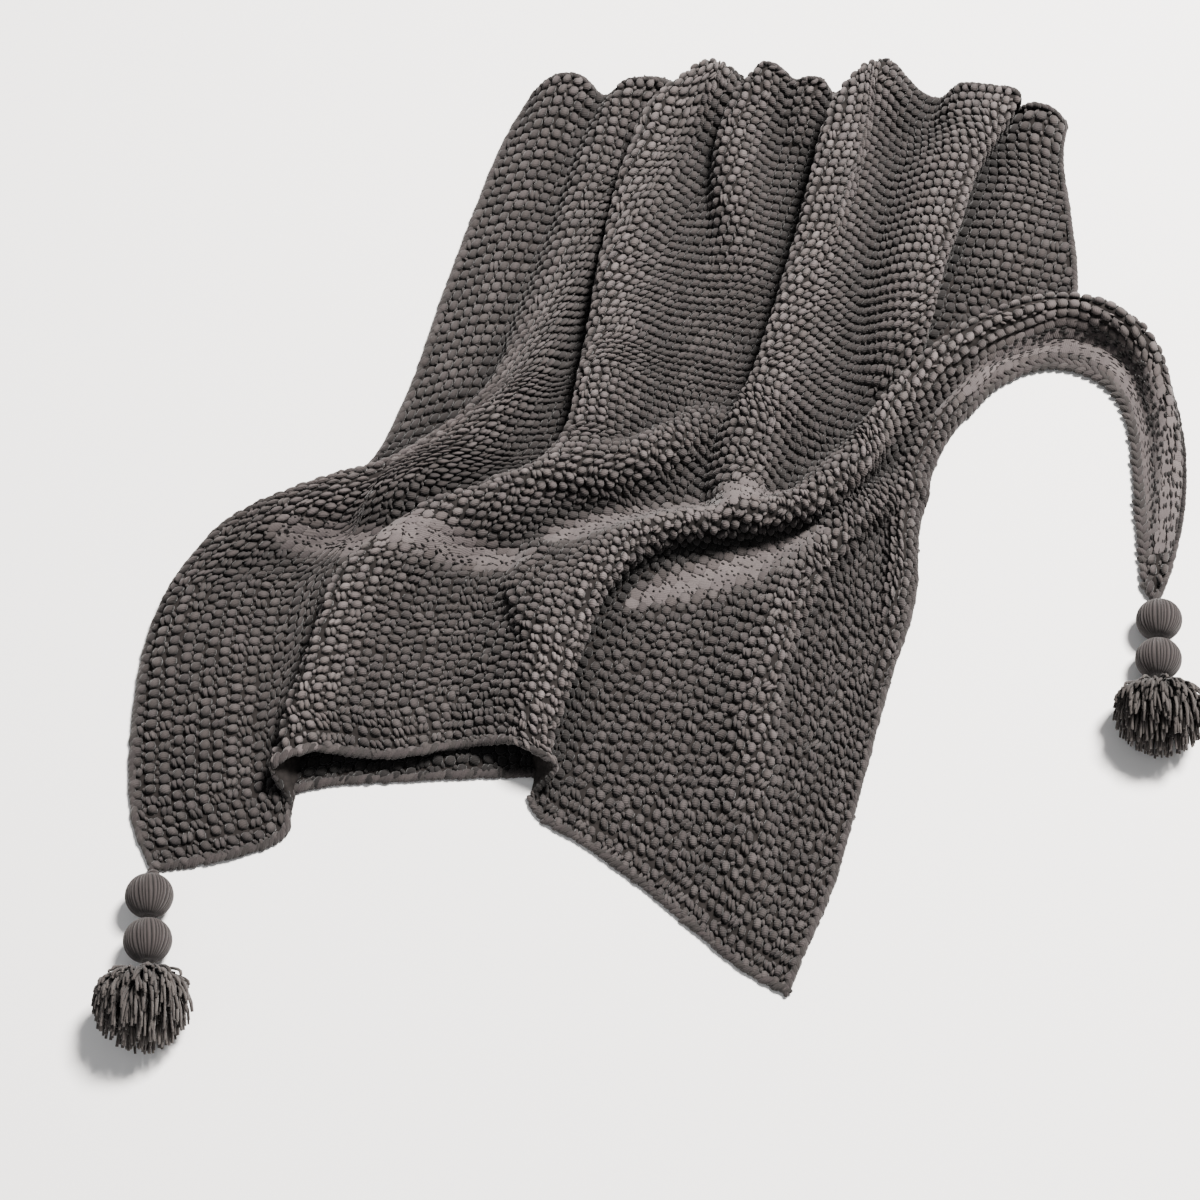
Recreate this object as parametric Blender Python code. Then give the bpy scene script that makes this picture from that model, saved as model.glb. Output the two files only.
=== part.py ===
"""Chunky knit blanket laid out in folds, with a yarn tassel at two of its corners.

The cloth is one closed sheet.  Its plan is drawn by four edges, its height by a table of
folds, and its points are then spaced evenly along the cloth.  Lengths are in millimetres
until a mesh is made.  X is the width, +Y runs to the far end and +Z is up.
"""
import bmesh
import bpy
import numpy as np
from mathutils import Matrix, Vector

MM = 0.001

# Cloth
CLOTH_THICKNESS = 8.0
BODY_COLUMNS = 42
STRIP_COLUMNS = 6
ROWS_BELOW_SLIT = 28
ROWS_ABOVE_SLIT = 24
SLIT_SHARE = ROWS_BELOW_SLIT / (ROWS_BELOW_SLIT + ROWS_ABOVE_SLIT)
FOLD_BLEND = 4.0
FOLD_FULLNESS = 0.5
FOLD_EASE = 14.0
EASE_LENGTH = 24.0
FINER = 3
EDGE_SAMPLES = 160
ROUNDS_OF_EVENING = 4

# Tassels: a neck at the corner, two wound balls, a wrap and a pompom, in a line on the floor
NECK_RADIUS = 8.0
NECK_LENGTH = 15.0
BALL_RADIUS = 28.0
BALL_HALF_LENGTH = 26.8
BALL_SINK = 0.8
BALL_SIDES = 18
FIRST_BALL_PLACE = 40.0
SECOND_BALL_PLACE = 94.2
WRAP_PLACE = 127.6
WRAP_RADIUS = 9.0
WRAP_LENGTH = 12.2
POMPOM_PLACE = 174.0
POMPOM_HEIGHT = 42.0
POMPOM_RADIUS = 56.0
HEAD_RADIUS = 24.0
HEAD_SETBACK = 16.0
HEAD_HEIGHT = 32.0
LOCK_INSET = 1.6
LOCK_THICKNESS = 4.0
LOCK_BEND = 3.0
LOCK_TURN = 7.0
LOCK_SHARES = (0.95, 1.0)
BARE_CONE = 0.62
CLEARANCE = 0.8

# Edges of the cloth on the floor, near end to far end or left to right: x, y
LEFT_EDGE = [
    (-526, -362), (-552, -305), (-565, -210), (-565, -140), (-557, -60), (-540, -10),
    (-500, 45), (-450, 92), (-385, 130), (-330, 160), (-292, 205), (-255, 295),
    (-210, 465), (-165, 625), (-125, 745), (-90, 805),
]
HEM_OF_BODY = [
    (-526, -362), (-440, -346), (-374, -319), (-352, -270), (-300, -234), (-220, -222),
    (-150, -205), (-112, -222), (-95, -252), (-75, -292), (-25, -325), (50, -382), (120, -445),
]
FAR_END = [
    (-90, 805), (-45, 812), (45, 800), (150, 818), (230, 816), (285, 804), (380, 818),
    (470, 803), (565, 783), (650, 752),
]
BODY_SEAM = [
    (120, -445), (150, -370), (185, -280), (220, -180), (250, -90), (275, 0), (292, 85),
    (308, 160), (332, 228), (376, 290),
]
BODY_SIDE = [
    (376, 290), (412, 348), (455, 384), (498, 412), (548, 434), (596, 446), (634, 451),
    (645, 505), (646, 560), (645, 625), (642, 695), (650, 752),
]
STRIP_OUTSIDE = [
    (376, 290), (420, 341), (461, 374), (503, 402), (551, 423), (597, 435), (642, 436),
    (686, 424), (716, 400), (736, 364), (746, 312), (748, 205), (737, 115), (717, 40), (700, 2),
]
CHAIN_EDGE = [
    (214, -512), (240, -452), (265, -400), (300, -295), (330, -195), (362, -90), (385, -30),
    (396, 15), (402, 85), (412, 130), (428, 185), (460, 250), (495, 290), (525, 320),
    (560, 338), (595, 346), (635, 338), (665, 318), (682, 290), (690, 240), (688, 175),
    (683, 85), (683, 35), (687, -1),
]
HEM_OF_STRIP = [(120, -445), (163, -482), (214, -512)]
CORNER_END = [(700, 2), (694, 0), (687, -1)]

# Folds, walked from the far end: x and y of the crest, its height, how far it leans to the
# right hand for each millimetre of height, and the reach of its left and right flanks
FOLDS = {
    "left_roll": [
        (85, 824, 52, 0.0, 45, 45), (45, 785, 44, 0.0, 50, 45), (15, 720, 40, 0.0, 50, 50),
        (-25, 565, 40, 0.0, 50, 55), (-75, 405, 44, 0.0, 55, 55), (-130, 280, 48, 0.2, 60, 45),
        (-180, 225, 48, 0.3, 60, 42), (-255, 170, 48, 0.3, 60, 38), (-350, 137, 46, 0.3, 60, 36),
        (-450, 90, 38, 0.3, 60, 34), (-500, 42, 30, 0.2, 60, 34), (-525, -35, 20, 0.0, 60, 36),
        (-535, -130, 10, 0.0, 60, 36), (-530, -240, 4, 0.0, 60, 36),
    ],
    "long_fold": [
        (150, 815, 58, 0.4, 65, 40), (85, 750, 60, 0.4, 70, 40), (50, 655, 60, 0.4, 75, 40),
        (15, 495, 56, 0.5, 80, 40), (-10, 325, 52, 0.5, 80, 40), (-40, 200, 48, 0.4, 75, 42),
        (-110, 138, 46, 0.3, 55, 45), (-210, 105, 46, 0.4, 60, 42), (-305, 25, 46, 0.7, 80, 38),
        (-350, -100, 46, 1.0, 100, 34), (-390, -285, 42, 1.2, 110, 30),
    ],
    "cross_fold": [
        (140, 250, 20, 0.0, 50, 45), (95, 218, 40, 0.0, 50, 45), (20, 178, 48, 0.0, 50, 46),
        (-75, 150, 48, 0.0, 50, 48), (-125, 135, 44, 0.0, 50, 48),
    ],
    "short_fold": [
        (235, 820, 52, 0.4, 50, 36), (200, 770, 50, 0.4, 55, 36), (180, 710, 45, 0.4, 60, 38),
        (175, 620, 36, 0.3, 60, 40), (185, 540, 20, 0.2, 60, 45), (182, 450, 4, 0.0, 60, 50),
    ],
    "middle_fold": [
        (380, 812, 60, 0.4, 75, 38), (340, 760, 60, 0.4, 80, 38), (320, 700, 60, 0.4, 85, 38),
        (300, 615, 60, 0.4, 90, 38), (245, 410, 58, 0.4, 90, 38), (210, 300, 54, 0.4, 85, 38),
        (192, 235, 50, 0.3, 80, 40), (180, 165, 40, 0.2, 70, 45),
    ],
    "middle_pucker": [
        (305, 822, 54, 0.0, 34, 30), (285, 775, 34, 0.0, 34, 32), (275, 725, 8, 0.0, 34, 34),
    ],
    "right_fold": [
        (575, 780, 52, -0.4, 38, 60), (535, 710, 58, -0.4, 38, 75), (500, 645, 60, -0.4, 38, 85),
        (470, 555, 60, -0.4, 38, 90), (445, 490, 60, -0.4, 38, 85), (425, 415, 56, -0.4, 38, 75),
        (402, 355, 44, -0.3, 38, 60), (385, 320, 22, -0.2, 36, 50),
    ],
    "right_pucker": [
        (520, 800, 44, 0.0, 36, 36), (495, 745, 30, 0.0, 36, 36), (480, 690, 6, 0.0, 36, 36),
    ],
    "arm_roll": [
        (694, 22, 12, 0.0, 14, 14), (718, 110, 18, 0.0, 30, 26), (735, 200, 24, 0.0, 34, 24),
        (733, 290, 30, 0.1, 30, 24), (714, 370, 40, 0.2, 24, 28), (668, 413, 48, 0.3, 22, 30),
        (595, 421, 49, 0.4, 22, 32), (513, 390, 50, 0.5, 22, 36), (434, 332, 51, 0.5, 24, 38),
        (370, 252, 53, 0.2, 30, 38), (326, 174, 54, -0.3, 38, 38), (260, 116, 54, -0.3, 38, 38),
        (175, 94, 54, -0.3, 38, 38), (75, 78, 54, -0.3, 38, 42), (10, 20, 54, -0.5, 40, 70),
        (-30, -80, 50, -0.8, 36, 105), (-50, -185, 46, -1.0, 34, 110), (-62, -262, 44, -1.1, 32, 110),
    ],
    "second_roll": [
        (395, 152, 24, -0.3, 34, 40), (330, 105, 32, -0.4, 36, 46), (285, 55, 32, -0.4, 36, 52),
        (240, -20, 32, -0.4, 36, 60), (205, -120, 30, -0.4, 36, 66), (190, -200, 24, -0.3, 40, 66),
        (175, -300, 14, -0.2, 45, 60), (165, -420, 6, 0.0, 50, 50),
    ],
    "pleat_floor": [
        (-240, 40, 3, 0.0, 90, 90), (-245, -80, 14, 0.0, 110, 100), (-235, -235, 22, 0.0, 110, 100),
    ],
    "left_back_swell": [
        (-45, 815, 46, 0.0, 60, 60), (-70, 740, 24, 0.0, 60, 60), (-100, 630, 14, 0.0, 65, 65),
        (-135, 465, 10, 0.0, 60, 60), (-190, 300, 6, 0.0, 50, 50),
    ],
    "right_back_swell": [
        (622, 765, 36, 0.0, 45, 55), (600, 700, 18, 0.0, 60, 60), (570, 600, 10, 0.0, 65, 65),
        (545, 490, 6, 0.0, 60, 60),
    ],
    "near_left_swell": [
        (-455, 10, 6, 0.0, 80, 80), (-460, -150, 14, 0.0, 90, 90), (-465, -300, 7, 0.0, 80, 60),
    ],
}

# Corners that carry a tassel, and the way it lies on the floor
TASSELS = {
    "left": {"corner": (-523, -361.4), "towards": (0.06, -1.0)},
    "right": {"corner": (693, -2.5), "towards": (-0.13, -1.0)},
}
# Outline of a tie or wrap: share of its length along the axis, share of its radius
BARREL = [(-0.5, 0.0), (-0.5, 0.75), (-0.25, 0.95), (0.25, 1.0), (0.5, 0.8), (0.5, 0.0)]
BALL_STEPS = 10

YARN_GREY = (0.115, 0.105, 0.098, 1.0)
YARN_ROUGHNESS = 0.9


def curve_through(rows, count):
    """A smooth curve through the rows of a table, as count points an even way apart.

    Each stretch is a cubic that passes a row with the slope of the line between its two
    neighbours.  Columns after x and y are carried along in the same way.
    """
    rows = np.array(rows, float)
    step = np.linalg.norm(np.diff(rows[:, :2], axis=0), axis=1)
    place = np.concatenate(([0.0], np.cumsum(step)))
    slope = np.gradient(rows, place, axis=0)
    fine = np.linspace(0.0, place[-1], 30 * len(rows))
    k = np.clip(np.searchsorted(place, fine, side="right") - 1, 0, len(rows) - 2)
    t = ((fine - place[k]) / step[k])[:, None]
    reach = step[k][:, None]
    start = rows[k] * (1 + 2 * t) * (1 - t) ** 2 + slope[k] * reach * t * (1 - t) ** 2
    end = rows[k + 1] * t * t * (3 - 2 * t) + slope[k + 1] * reach * t * t * (t - 1)
    curve = start + end
    moved = np.linalg.norm(np.diff(curve[:, :2], axis=0), axis=1)
    along = np.concatenate(([0.0], np.cumsum(moved)))
    even = np.linspace(0.0, along[-1], count)
    return np.stack([np.interp(even, along, column) for column in curve.T], axis=1)


def point_on(curve, share):
    """The point at each share (0 to 1) of an evenly spaced curve's length."""
    places = np.linspace(0.0, 1.0, len(curve))
    return np.stack([np.interp(share, places, curve[:, 0]),
                     np.interp(share, places, curve[:, 1])], axis=-1)


def side_on(first, second, share):
    """The point on two curves joined end to end, the join lying at SLIT_SHARE."""
    lower = point_on(first, np.clip(share / SLIT_SHARE, 0, 1))
    upper = point_on(second, np.clip((share - SLIT_SHARE) / (1 - SLIT_SHARE), 0, 1))
    return np.where((share < SLIT_SHARE)[..., None], lower, upper)


def patch(u, v, left, right, near, far):
    """Plan point at u, v of the patch between four edges: each pair of facing edges is
    blended in a straight line, and the blend of the four corners is taken off once."""
    a = (1 - u)[..., None]
    b = u[..., None]
    c = (1 - v)[..., None]
    d = v[..., None]
    corners = (a * c * near[0] + b * c * near[-1] + a * d * far[0] + b * d * far[-1])
    return a * left(v) + b * right(v) + c * point_on(near, u) + d * point_on(far, u) - corners


def make_fold(rows, count=100):
    """A fold ready for measuring: its crest moved back to where the fold would stand if it
    did not lean, with the direction to its right hand."""
    crest = curve_through(rows, count)
    ahead = np.gradient(crest[:, :2], axis=0)
    ahead /= np.linalg.norm(ahead, axis=1)[:, None]
    right = np.stack([ahead[:, 1], -ahead[:, 0]], axis=1)
    line = crest[:, :2] - right * (crest[:, 2] * crest[:, 3])[:, None]
    return {"line": line, "right": right, "rest": crest[:, 2:]}


def fold_at(fold, flat):
    """Height that one fold gives each floor point, and the sideways lean that goes with it.

    The crest points near the foot of the shortest way to the crest are averaged, so that
    bends of the fold pass smoothly.  The height falls to nothing over the reach of the flank
    as a cosine whose middle is steepened, so that crest and foot stay round.
    """
    away = flat[:, None, :] - fold["line"][None]
    square = (away ** 2).sum(-1)
    nearest = square.min(axis=1)
    weight = np.exp((nearest[:, None] - square) / (2 * FOLD_EASE ** 2))
    weight /= weight.sum(axis=1)[:, None]
    rest = weight @ fold["rest"]
    right = weight @ fold["right"]
    on_left = ((weight[..., None] * away).sum(axis=1) * right).sum(-1) < 0
    reach = np.where(on_left, rest[:, 2], rest[:, 3])
    q = np.clip(np.sqrt(nearest) / reach, 0, 1)
    q = q - FOLD_FULLNESS * np.sin(2 * np.pi * q) / (2 * np.pi)
    height = rest[:, 0] * (0.5 + 0.5 * np.cos(np.pi * q))
    return height, right * (rest[:, 1] * height)[:, None]


def raise_folds(plan, folds):
    """Underside of the cloth over plan points: the folds are joined as a power mean, which
    is nearly the higher of them, and the lean follows the fold that is highest there."""
    flat = plan.reshape(-1, 2)
    weight_sum = np.zeros(len(flat))
    lean = np.zeros((len(flat), 2))
    for fold in folds:
        height, aside = fold_at(fold, flat)
        weight = height ** FOLD_BLEND
        weight_sum += weight
        lean += aside * weight[:, None]
    tall = weight_sum ** (1 / FOLD_BLEND)
    lean /= np.maximum(weight_sum, 1e-9)[:, None]
    points = np.column_stack([flat + lean, tall])
    return points.reshape(plan.shape[:-1] + (3,))


def even_out(place, points, axis, stops):
    """Slide the grid along one axis so that its points are an even way apart on the cloth.

    stops are the grid lines that stay where they are.
    """
    place = np.moveaxis(place, axis, 0)
    points = np.moveaxis(points, axis, 0)
    moved = place.copy()
    for first, last in zip(stops[:-1], stops[1:]):
        step = np.linalg.norm(np.diff(points[first:last + 1], axis=0), axis=-1)
        along = np.concatenate([np.zeros_like(step[:1]), np.cumsum(step, axis=0)])
        for line in range(along.shape[1]):
            even = np.linspace(0.0, along[-1, line], last - first + 1)
            for part in range(2):
                old = place[first:last + 1, line, part]
                moved[first:last + 1, line, part] = np.interp(even, along[:, line], old)
    return np.moveaxis(moved, 0, axis)


def refine(place, axis):
    """The same grid with FINER times as many steps along one axis, placed in between."""
    place = np.moveaxis(place, axis, 0)
    old = np.arange(len(place))
    new = np.linspace(0, old[-1], old[-1] * FINER + 1)
    low = np.minimum(new.astype(int), old[-1] - 1)
    part = (new - low)[:, None, None]
    return np.moveaxis(place[low] * (1 - part) + place[low + 1] * part, 0, axis)


def ease_edges(points):
    """Points on the four edges of a grid move towards the mean of their two neighbours."""
    for edge in (points[0], points[-1], points[:, 0], points[:, -1]):
        edge[1:-1] = (edge[1:-1] + (edge[:-2] + edge[2:]) / 2) / 2


def ease_inside(points):
    """Points inside a grid move towards the mean of their four neighbours."""
    mean = (points[:-2, 1:-1] + points[2:, 1:-1] + points[1:-1, :-2] + points[1:-1, 2:]) / 4
    points[1:-1, 1:-1] = (points[1:-1, 1:-1] + mean) / 2


def ease(body, strip, joined):
    """Round off sharp creases of both patches, more often the finer their grid is, and treat
    the seam between them, which runs up to the grid line joined, like the cloth beside it."""
    spacing = np.linalg.norm(np.diff(body, axis=1), axis=-1).mean()
    for _ in range(int((EASE_LENGTH / spacing) ** 2)):
        ends = [body[0, -1].copy(), body[joined, -1].copy()]
        beside = np.concatenate([body[:joined + 1, -3:], strip[:joined + 1, 1:3]], axis=1)
        ease_inside(beside)
        for points in (body, strip):
            ease_edges(points)
            ease_inside(points)
        body[:joined + 1, -1] = beside[:, 2]
        body[0, -1], body[joined, -1] = ends
        strip[:joined + 1, 0] = body[:joined + 1, -1]


def lay_cloth(columns, row_stops, edges, folds):
    """Underside points of one patch of cloth, rows first, spaced evenly both ways."""
    left, right, near, far = edges
    rows = row_stops[-1]
    share = np.interp(np.arange(rows + 1), row_stops, [0.0, SLIT_SHARE, 1.0])
    v, u = np.meshgrid(share, np.linspace(0, 1, columns + 1), indexing="ij")
    place = np.stack([u, v], axis=-1)
    for _ in range(ROUNDS_OF_EVENING):
        points = raise_folds(patch(place[..., 0], place[..., 1], left, right, near, far), folds)
        place = even_out(place, points, 1, [0, columns])
        points = raise_folds(patch(place[..., 0], place[..., 1], left, right, near, far), folds)
        place = even_out(place, points, 0, row_stops)
    place = refine(refine(place, 0), 1)
    return raise_folds(patch(place[..., 0], place[..., 1], left, right, near, far), folds)


def cloth_points(body_columns, strip_columns, rows_below, rows_above):
    """Underside points of the cloth's body and of the strip that runs out over the arm."""
    folds = [make_fold(rows) for rows in FOLDS.values()]
    left, seam, side, outside, chain, near_body, far_body, near_strip, far_strip = (
        curve_through(rows, EDGE_SAMPLES) for rows in (
            LEFT_EDGE, BODY_SEAM, BODY_SIDE, STRIP_OUTSIDE, CHAIN_EDGE,
            HEM_OF_BODY, FAR_END, HEM_OF_STRIP, CORNER_END))
    stops = [0, rows_below, rows_below + rows_above]
    body_edges = (lambda v: point_on(left, v), lambda v: side_on(seam, side, v),
                  near_body, far_body)
    strip_edges = (lambda v: side_on(seam, outside, v), lambda v: point_on(chain, v),
                   near_strip, far_strip)
    body = lay_cloth(body_columns, stops, body_edges, folds)
    strip = lay_cloth(strip_columns, stops, strip_edges, folds)
    ease(body, strip, rows_below * FINER)
    return body[::FINER, ::FINER], strip[::FINER, ::FINER]


def grid_faces(rows, columns, first):
    """Quads of a grid of points numbered row by row from first, facing up."""
    number = first + np.arange(rows * columns).reshape(rows, columns)
    return np.stack([number[:-1, :-1], number[:-1, 1:], number[1:, 1:], number[1:, :-1]],
                    axis=-1).reshape(-1, 4)


def new_object(name, points, faces):
    """A mesh object with its own material, from points in millimetres."""
    mesh = bpy.data.meshes.new(name)
    mesh.from_pydata((np.asarray(points) * MM).tolist(), [], [list(map(int, f)) for f in faces])
    obj = bpy.data.objects.new(name, mesh)
    material = bpy.data.materials.new(name + "_yarn")
    material.use_nodes = True
    shader = material.node_tree.nodes["Principled BSDF"]
    shader.inputs["Base Color"].default_value = YARN_GREY
    shader.inputs["Roughness"].default_value = YARN_ROUGHNESS
    mesh.materials.append(material)
    mesh.polygons.foreach_set("use_smooth", np.ones(len(mesh.polygons), bool))
    COLLECTION.objects.link(obj)
    return obj


def average_normals(points, faces):
    """Outward direction at each point, from the faces around it weighted by their area."""
    corner = points[faces]
    across = np.cross(corner[:, 2] - corner[:, 0], corner[:, 3] - corner[:, 1])
    normals = np.zeros_like(points)
    for part in range(4):
        np.add.at(normals, faces[:, part], across)
    return normals / np.maximum(np.linalg.norm(normals, axis=1), 1e-9)[:, None]


def make_blanket():
    """The cloth as one closed sheet: body and strip are joined below the slit, the top face
    is the underside moved out by the thickness, and a wall runs round every free edge."""
    body, strip = cloth_points(BODY_COLUMNS, STRIP_COLUMNS, ROWS_BELOW_SLIT, ROWS_ABOVE_SLIT)
    rows, columns = body.shape[:2]
    strip_columns = strip.shape[1]
    points = np.concatenate([body.reshape(-1, 3), strip.reshape(-1, 3)])
    number = np.arange(len(points))
    for row in range(ROWS_BELOW_SLIT + 1):
        number[rows * columns + row * strip_columns] = row * columns + columns - 1
    faces = np.concatenate([grid_faces(rows, columns, 0),
                            grid_faces(rows, strip_columns, rows * columns)])
    used, faces = np.unique(number[faces], return_inverse=True)
    points = points[used]
    faces = faces.reshape(-1, 4)
    top = points + CLOTH_THICKNESS * average_normals(points, faces)
    count = len(points)
    around = np.stack([faces, np.roll(faces, -1, axis=1)], axis=-1).reshape(-1, 2)
    edges = set(map(tuple, around.tolist()))
    free = [pair for pair in edges if (pair[1], pair[0]) not in edges]
    walls = [(a, b, b + count, a + count) for a, b in free]
    everything = faces[:, ::-1].tolist() + (faces + count).tolist() + walls
    return new_object("blanket", np.concatenate([points, top]), everything)


def lying_frame(corner, towards):
    """Start point, direction and sideways direction of a row of pieces on the floor."""
    ahead = np.array([towards[0], towards[1], 0.0])
    ahead /= np.linalg.norm(ahead)
    return np.array([corner[0], corner[1], 0.0]), ahead, np.array([-ahead[1], ahead[0], 0.0])


def make_turned(name, frame, place, height, outline):
    """A round piece whose axis lies level along the frame: the outline gives radius at each
    step along the axis and closes in a point at both ends.  What would sink into the floor
    is pressed flat on it."""
    start, ahead, aside = frame
    centre = start + ahead * place + np.array([0, 0, height])
    turn = np.linspace(0, 2 * np.pi, BALL_SIDES, endpoint=False)
    ring = np.cos(turn)[:, None] * np.array([0, 0, 1.0]) + np.sin(turn)[:, None] * aside
    points = [centre + ahead * along + ring * radius for along, radius in outline[1:-1]]
    points = np.concatenate(points + [[centre + ahead * outline[0][0]],
                                      [centre + ahead * outline[-1][0]]])
    points[:, 2] = np.maximum(points[:, 2], 0.0)
    faces = []
    rings = len(outline) - 2
    for k in range(BALL_SIDES):
        after = (k + 1) % BALL_SIDES
        for row in range(rings - 1):
            low = row * BALL_SIDES
            high = low + BALL_SIDES
            faces.append((low + k, high + k, high + after, low + after))
        last = (rings - 1) * BALL_SIDES
        faces.append((rings * BALL_SIDES, k, after))
        faces.append((rings * BALL_SIDES + 1, last + after, last + k))
    return new_object(name, points, faces)


def ball_outline():
    """Outline of a wound ball: half an ellipse."""
    angle = np.linspace(0, np.pi, BALL_STEPS + 1)
    return list(zip(-BALL_HALF_LENGTH * np.cos(angle), BALL_RADIUS * np.sin(angle)))


def barrel_outline(length, radius):
    """Outline of a short bundle of turns, a little fuller in the middle."""
    return [(along * length, share * radius) for along, share in BARREL]


def lock_path(root, way, centre, ahead, turn):
    """Middle and tip of one lock: the tip lies on the pompom's round outline, or on the floor
    where that is nearer, and the middle bends a little aside and down."""
    tip = centre + way * POMPOM_RADIUS
    floor = LOCK_THICKNESS / 2
    if tip[2] < floor:
        tip = root + (tip - root) * (root[2] - floor) / (root[2] - tip[2])
    bend = np.cross(way, ahead) * LOCK_BEND * np.sin(LOCK_TURN * turn)
    middle = root + (tip - root) * 0.5 + bend
    middle[2] = max(middle[2], floor)
    return middle, tip


def make_pompom(name, frame):
    """A pompom: a round head whose every face, but those at the wrap, grows one lock."""
    start, ahead, _ = frame
    centre = start + ahead * POMPOM_PLACE + np.array([0, 0, POMPOM_HEIGHT])
    head = centre - ahead * HEAD_SETBACK
    head[2] = HEAD_HEIGHT
    bm = bmesh.new()
    bmesh.ops.create_icosphere(bm, subdivisions=2, radius=HEAD_RADIUS)
    ways = [np.array(face.normal) for face in bm.faces]
    grown = [face for face, way in zip(bm.faces, ways) if way @ -ahead < BARE_CONE]
    bmesh.ops.inset_individual(bm, faces=grown, thickness=LOCK_INSET)
    for turn, face in enumerate(list(grown)):
        way = np.array(face.normal)
        root = head + np.array(face.calc_center_median())
        stations = lock_path(root, way, centre, ahead, turn)
        for place, share in zip(stations, LOCK_SHARES):
            face = bmesh.ops.extrude_discrete_faces(bm, faces=[face])["faces"][0]
            middle = np.array(face.calc_center_median())
            for vertex in face.verts:
                spread = np.array(vertex.co) - middle
                vertex.co = Vector(place - head + spread * share)
    points = np.array([vertex.co for vertex in bm.verts]) + head
    points[:, 2] -= points[:, 2].min()
    faces = [[vertex.index for vertex in face.verts] for face in bm.faces]
    bm.free()
    return new_object(name, points, faces)


def make_tassel(side, corner, towards):
    """All pieces of one tassel, in the order they are strung."""
    frame = lying_frame(corner, towards)
    ball_height = BALL_RADIUS - BALL_SINK
    make_turned(side + "_corner_tie", frame, CLEARANCE + NECK_LENGTH / 2, NECK_RADIUS,
                barrel_outline(NECK_LENGTH, NECK_RADIUS))
    make_turned(side + "_upper_ball", frame, FIRST_BALL_PLACE, ball_height, ball_outline())
    make_turned(side + "_lower_ball", frame, SECOND_BALL_PLACE, ball_height, ball_outline())
    make_turned(side + "_head_wrap", frame, WRAP_PLACE, ball_height,
                barrel_outline(WRAP_LENGTH, WRAP_RADIUS))
    make_pompom(side + "_pompom", frame)


def stand_on_origin(objects):
    """Move every mesh so that the whole stands centred over the origin, lowest point at 0."""
    corners = np.array([vertex.co for obj in objects for vertex in obj.data.vertices])
    low = corners.min(axis=0)
    high = corners.max(axis=0)
    shift = Vector((-(low[0] + high[0]) / 2, -(low[1] + high[1]) / 2, -low[2]))
    for obj in objects:
        obj.data.transform(Matrix.Translation(shift))


for old in list(bpy.data.objects):
    bpy.data.objects.remove(old)
COLLECTION = bpy.data.collections.new("chunky_knit_blanket")
bpy.context.scene.collection.children.link(COLLECTION)
make_blanket()
for side, lie in TASSELS.items():
    make_tassel(side, lie["corner"], lie["towards"])
stand_on_origin(list(COLLECTION.objects))
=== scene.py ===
import math

import bpy
import numpy as np
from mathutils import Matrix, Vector
from mathutils.kdtree import KDTree


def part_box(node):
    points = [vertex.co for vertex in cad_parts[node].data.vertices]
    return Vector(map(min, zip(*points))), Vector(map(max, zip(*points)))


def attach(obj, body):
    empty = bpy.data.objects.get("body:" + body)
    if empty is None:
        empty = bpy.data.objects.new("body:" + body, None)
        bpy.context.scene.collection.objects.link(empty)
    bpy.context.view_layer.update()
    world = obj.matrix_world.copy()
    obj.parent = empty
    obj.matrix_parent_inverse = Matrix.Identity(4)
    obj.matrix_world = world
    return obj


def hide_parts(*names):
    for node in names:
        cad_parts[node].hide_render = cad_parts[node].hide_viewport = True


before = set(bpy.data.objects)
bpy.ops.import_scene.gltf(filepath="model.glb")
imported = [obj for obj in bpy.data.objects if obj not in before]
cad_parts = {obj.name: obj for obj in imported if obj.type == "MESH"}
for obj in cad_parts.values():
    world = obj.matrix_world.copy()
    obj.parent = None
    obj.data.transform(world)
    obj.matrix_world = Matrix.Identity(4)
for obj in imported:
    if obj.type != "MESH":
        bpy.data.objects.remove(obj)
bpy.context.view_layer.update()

MM = 0.001

# Knit: wales run from hem to far end, rows run across
BODY_WALES = 60
WALES_AT_ROWS = ([0, 30, 58], [65, 68, 77])
WALE_SPREAD = (1.12, 0.90)
BODY_PIECES = 4
ROWS_TO_SLIT = 53
BODY_ROWS_PAST = 34
STRIP_ROWS_PAST = 50
STRIP_STEPS = 14
CORNER_STEPS = 21
CORNER_REACH = 290.0
FAR_END_SHARE = 0.87
STRIP_WALE = 12.4
FINER = 2
SLIT_SHARE = 28 / 52
BASE_RISE = 0.5
BASE_TOP = 2.8
KNOB_HEIGHT = 7.4
BORDER_ROWS = 2
UNDER_ROWS = 4
UNDER_WALES = 20

# Maps of the cloth's mean height, and the painted light for each reach that they are spread by:
# how far the cloth around stands above a place, and the share of light painted into its colour
MAP_STEP = 5.0
MAP_MARGIN = 60.0
MAP_REACH = 40
SHADES = {
    28.0: ([-26, -14, -3, 6, 14, 24], [2.0, 1.36, 0.84, 0.58, 0.38, 0.22]),
    11.0: ([-8, 0, 5, 10, 16], [1.06, 1.0, 0.82, 0.52, 0.30]),
}

# Where the knit is calm: the painted light and the lighter painted tone that it tends to, how near
# it comes to them, how wide and how flat-topped the bell across a band is, and the painted shade
# of a dark slit
CALM_SHADE = 1.75
CALM_PAINTED_LIGHT_TONE = 0.9
CALM_LIFT = 0.85
CALM_WIDTH = 1.3
CALM_POWER = 1.6
SLIT_PAINTED_SHADE = 0.12

# How the stitches change from the near end on: shares of the cloth's length, and at each how
# loose they lie, how many show as one knob, how far every other wale is set back and how wide
# half a knob is, in wales
LOOSE = ([0.0, 0.4, 0.7], [0.9, 0.6, 0.35])
ONE_KNOB = ([0.0, 0.3, 0.6], [0.70, 0.78, 0.94])
SET_BACK = ([0.02, 0.06, 0.4, 0.6], [0.0, 0.26, 0.14, 0.0])
HALF_WIDTH = ([0.0, 0.3, 0.6], [0.385, 0.41, 0.465])

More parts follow.
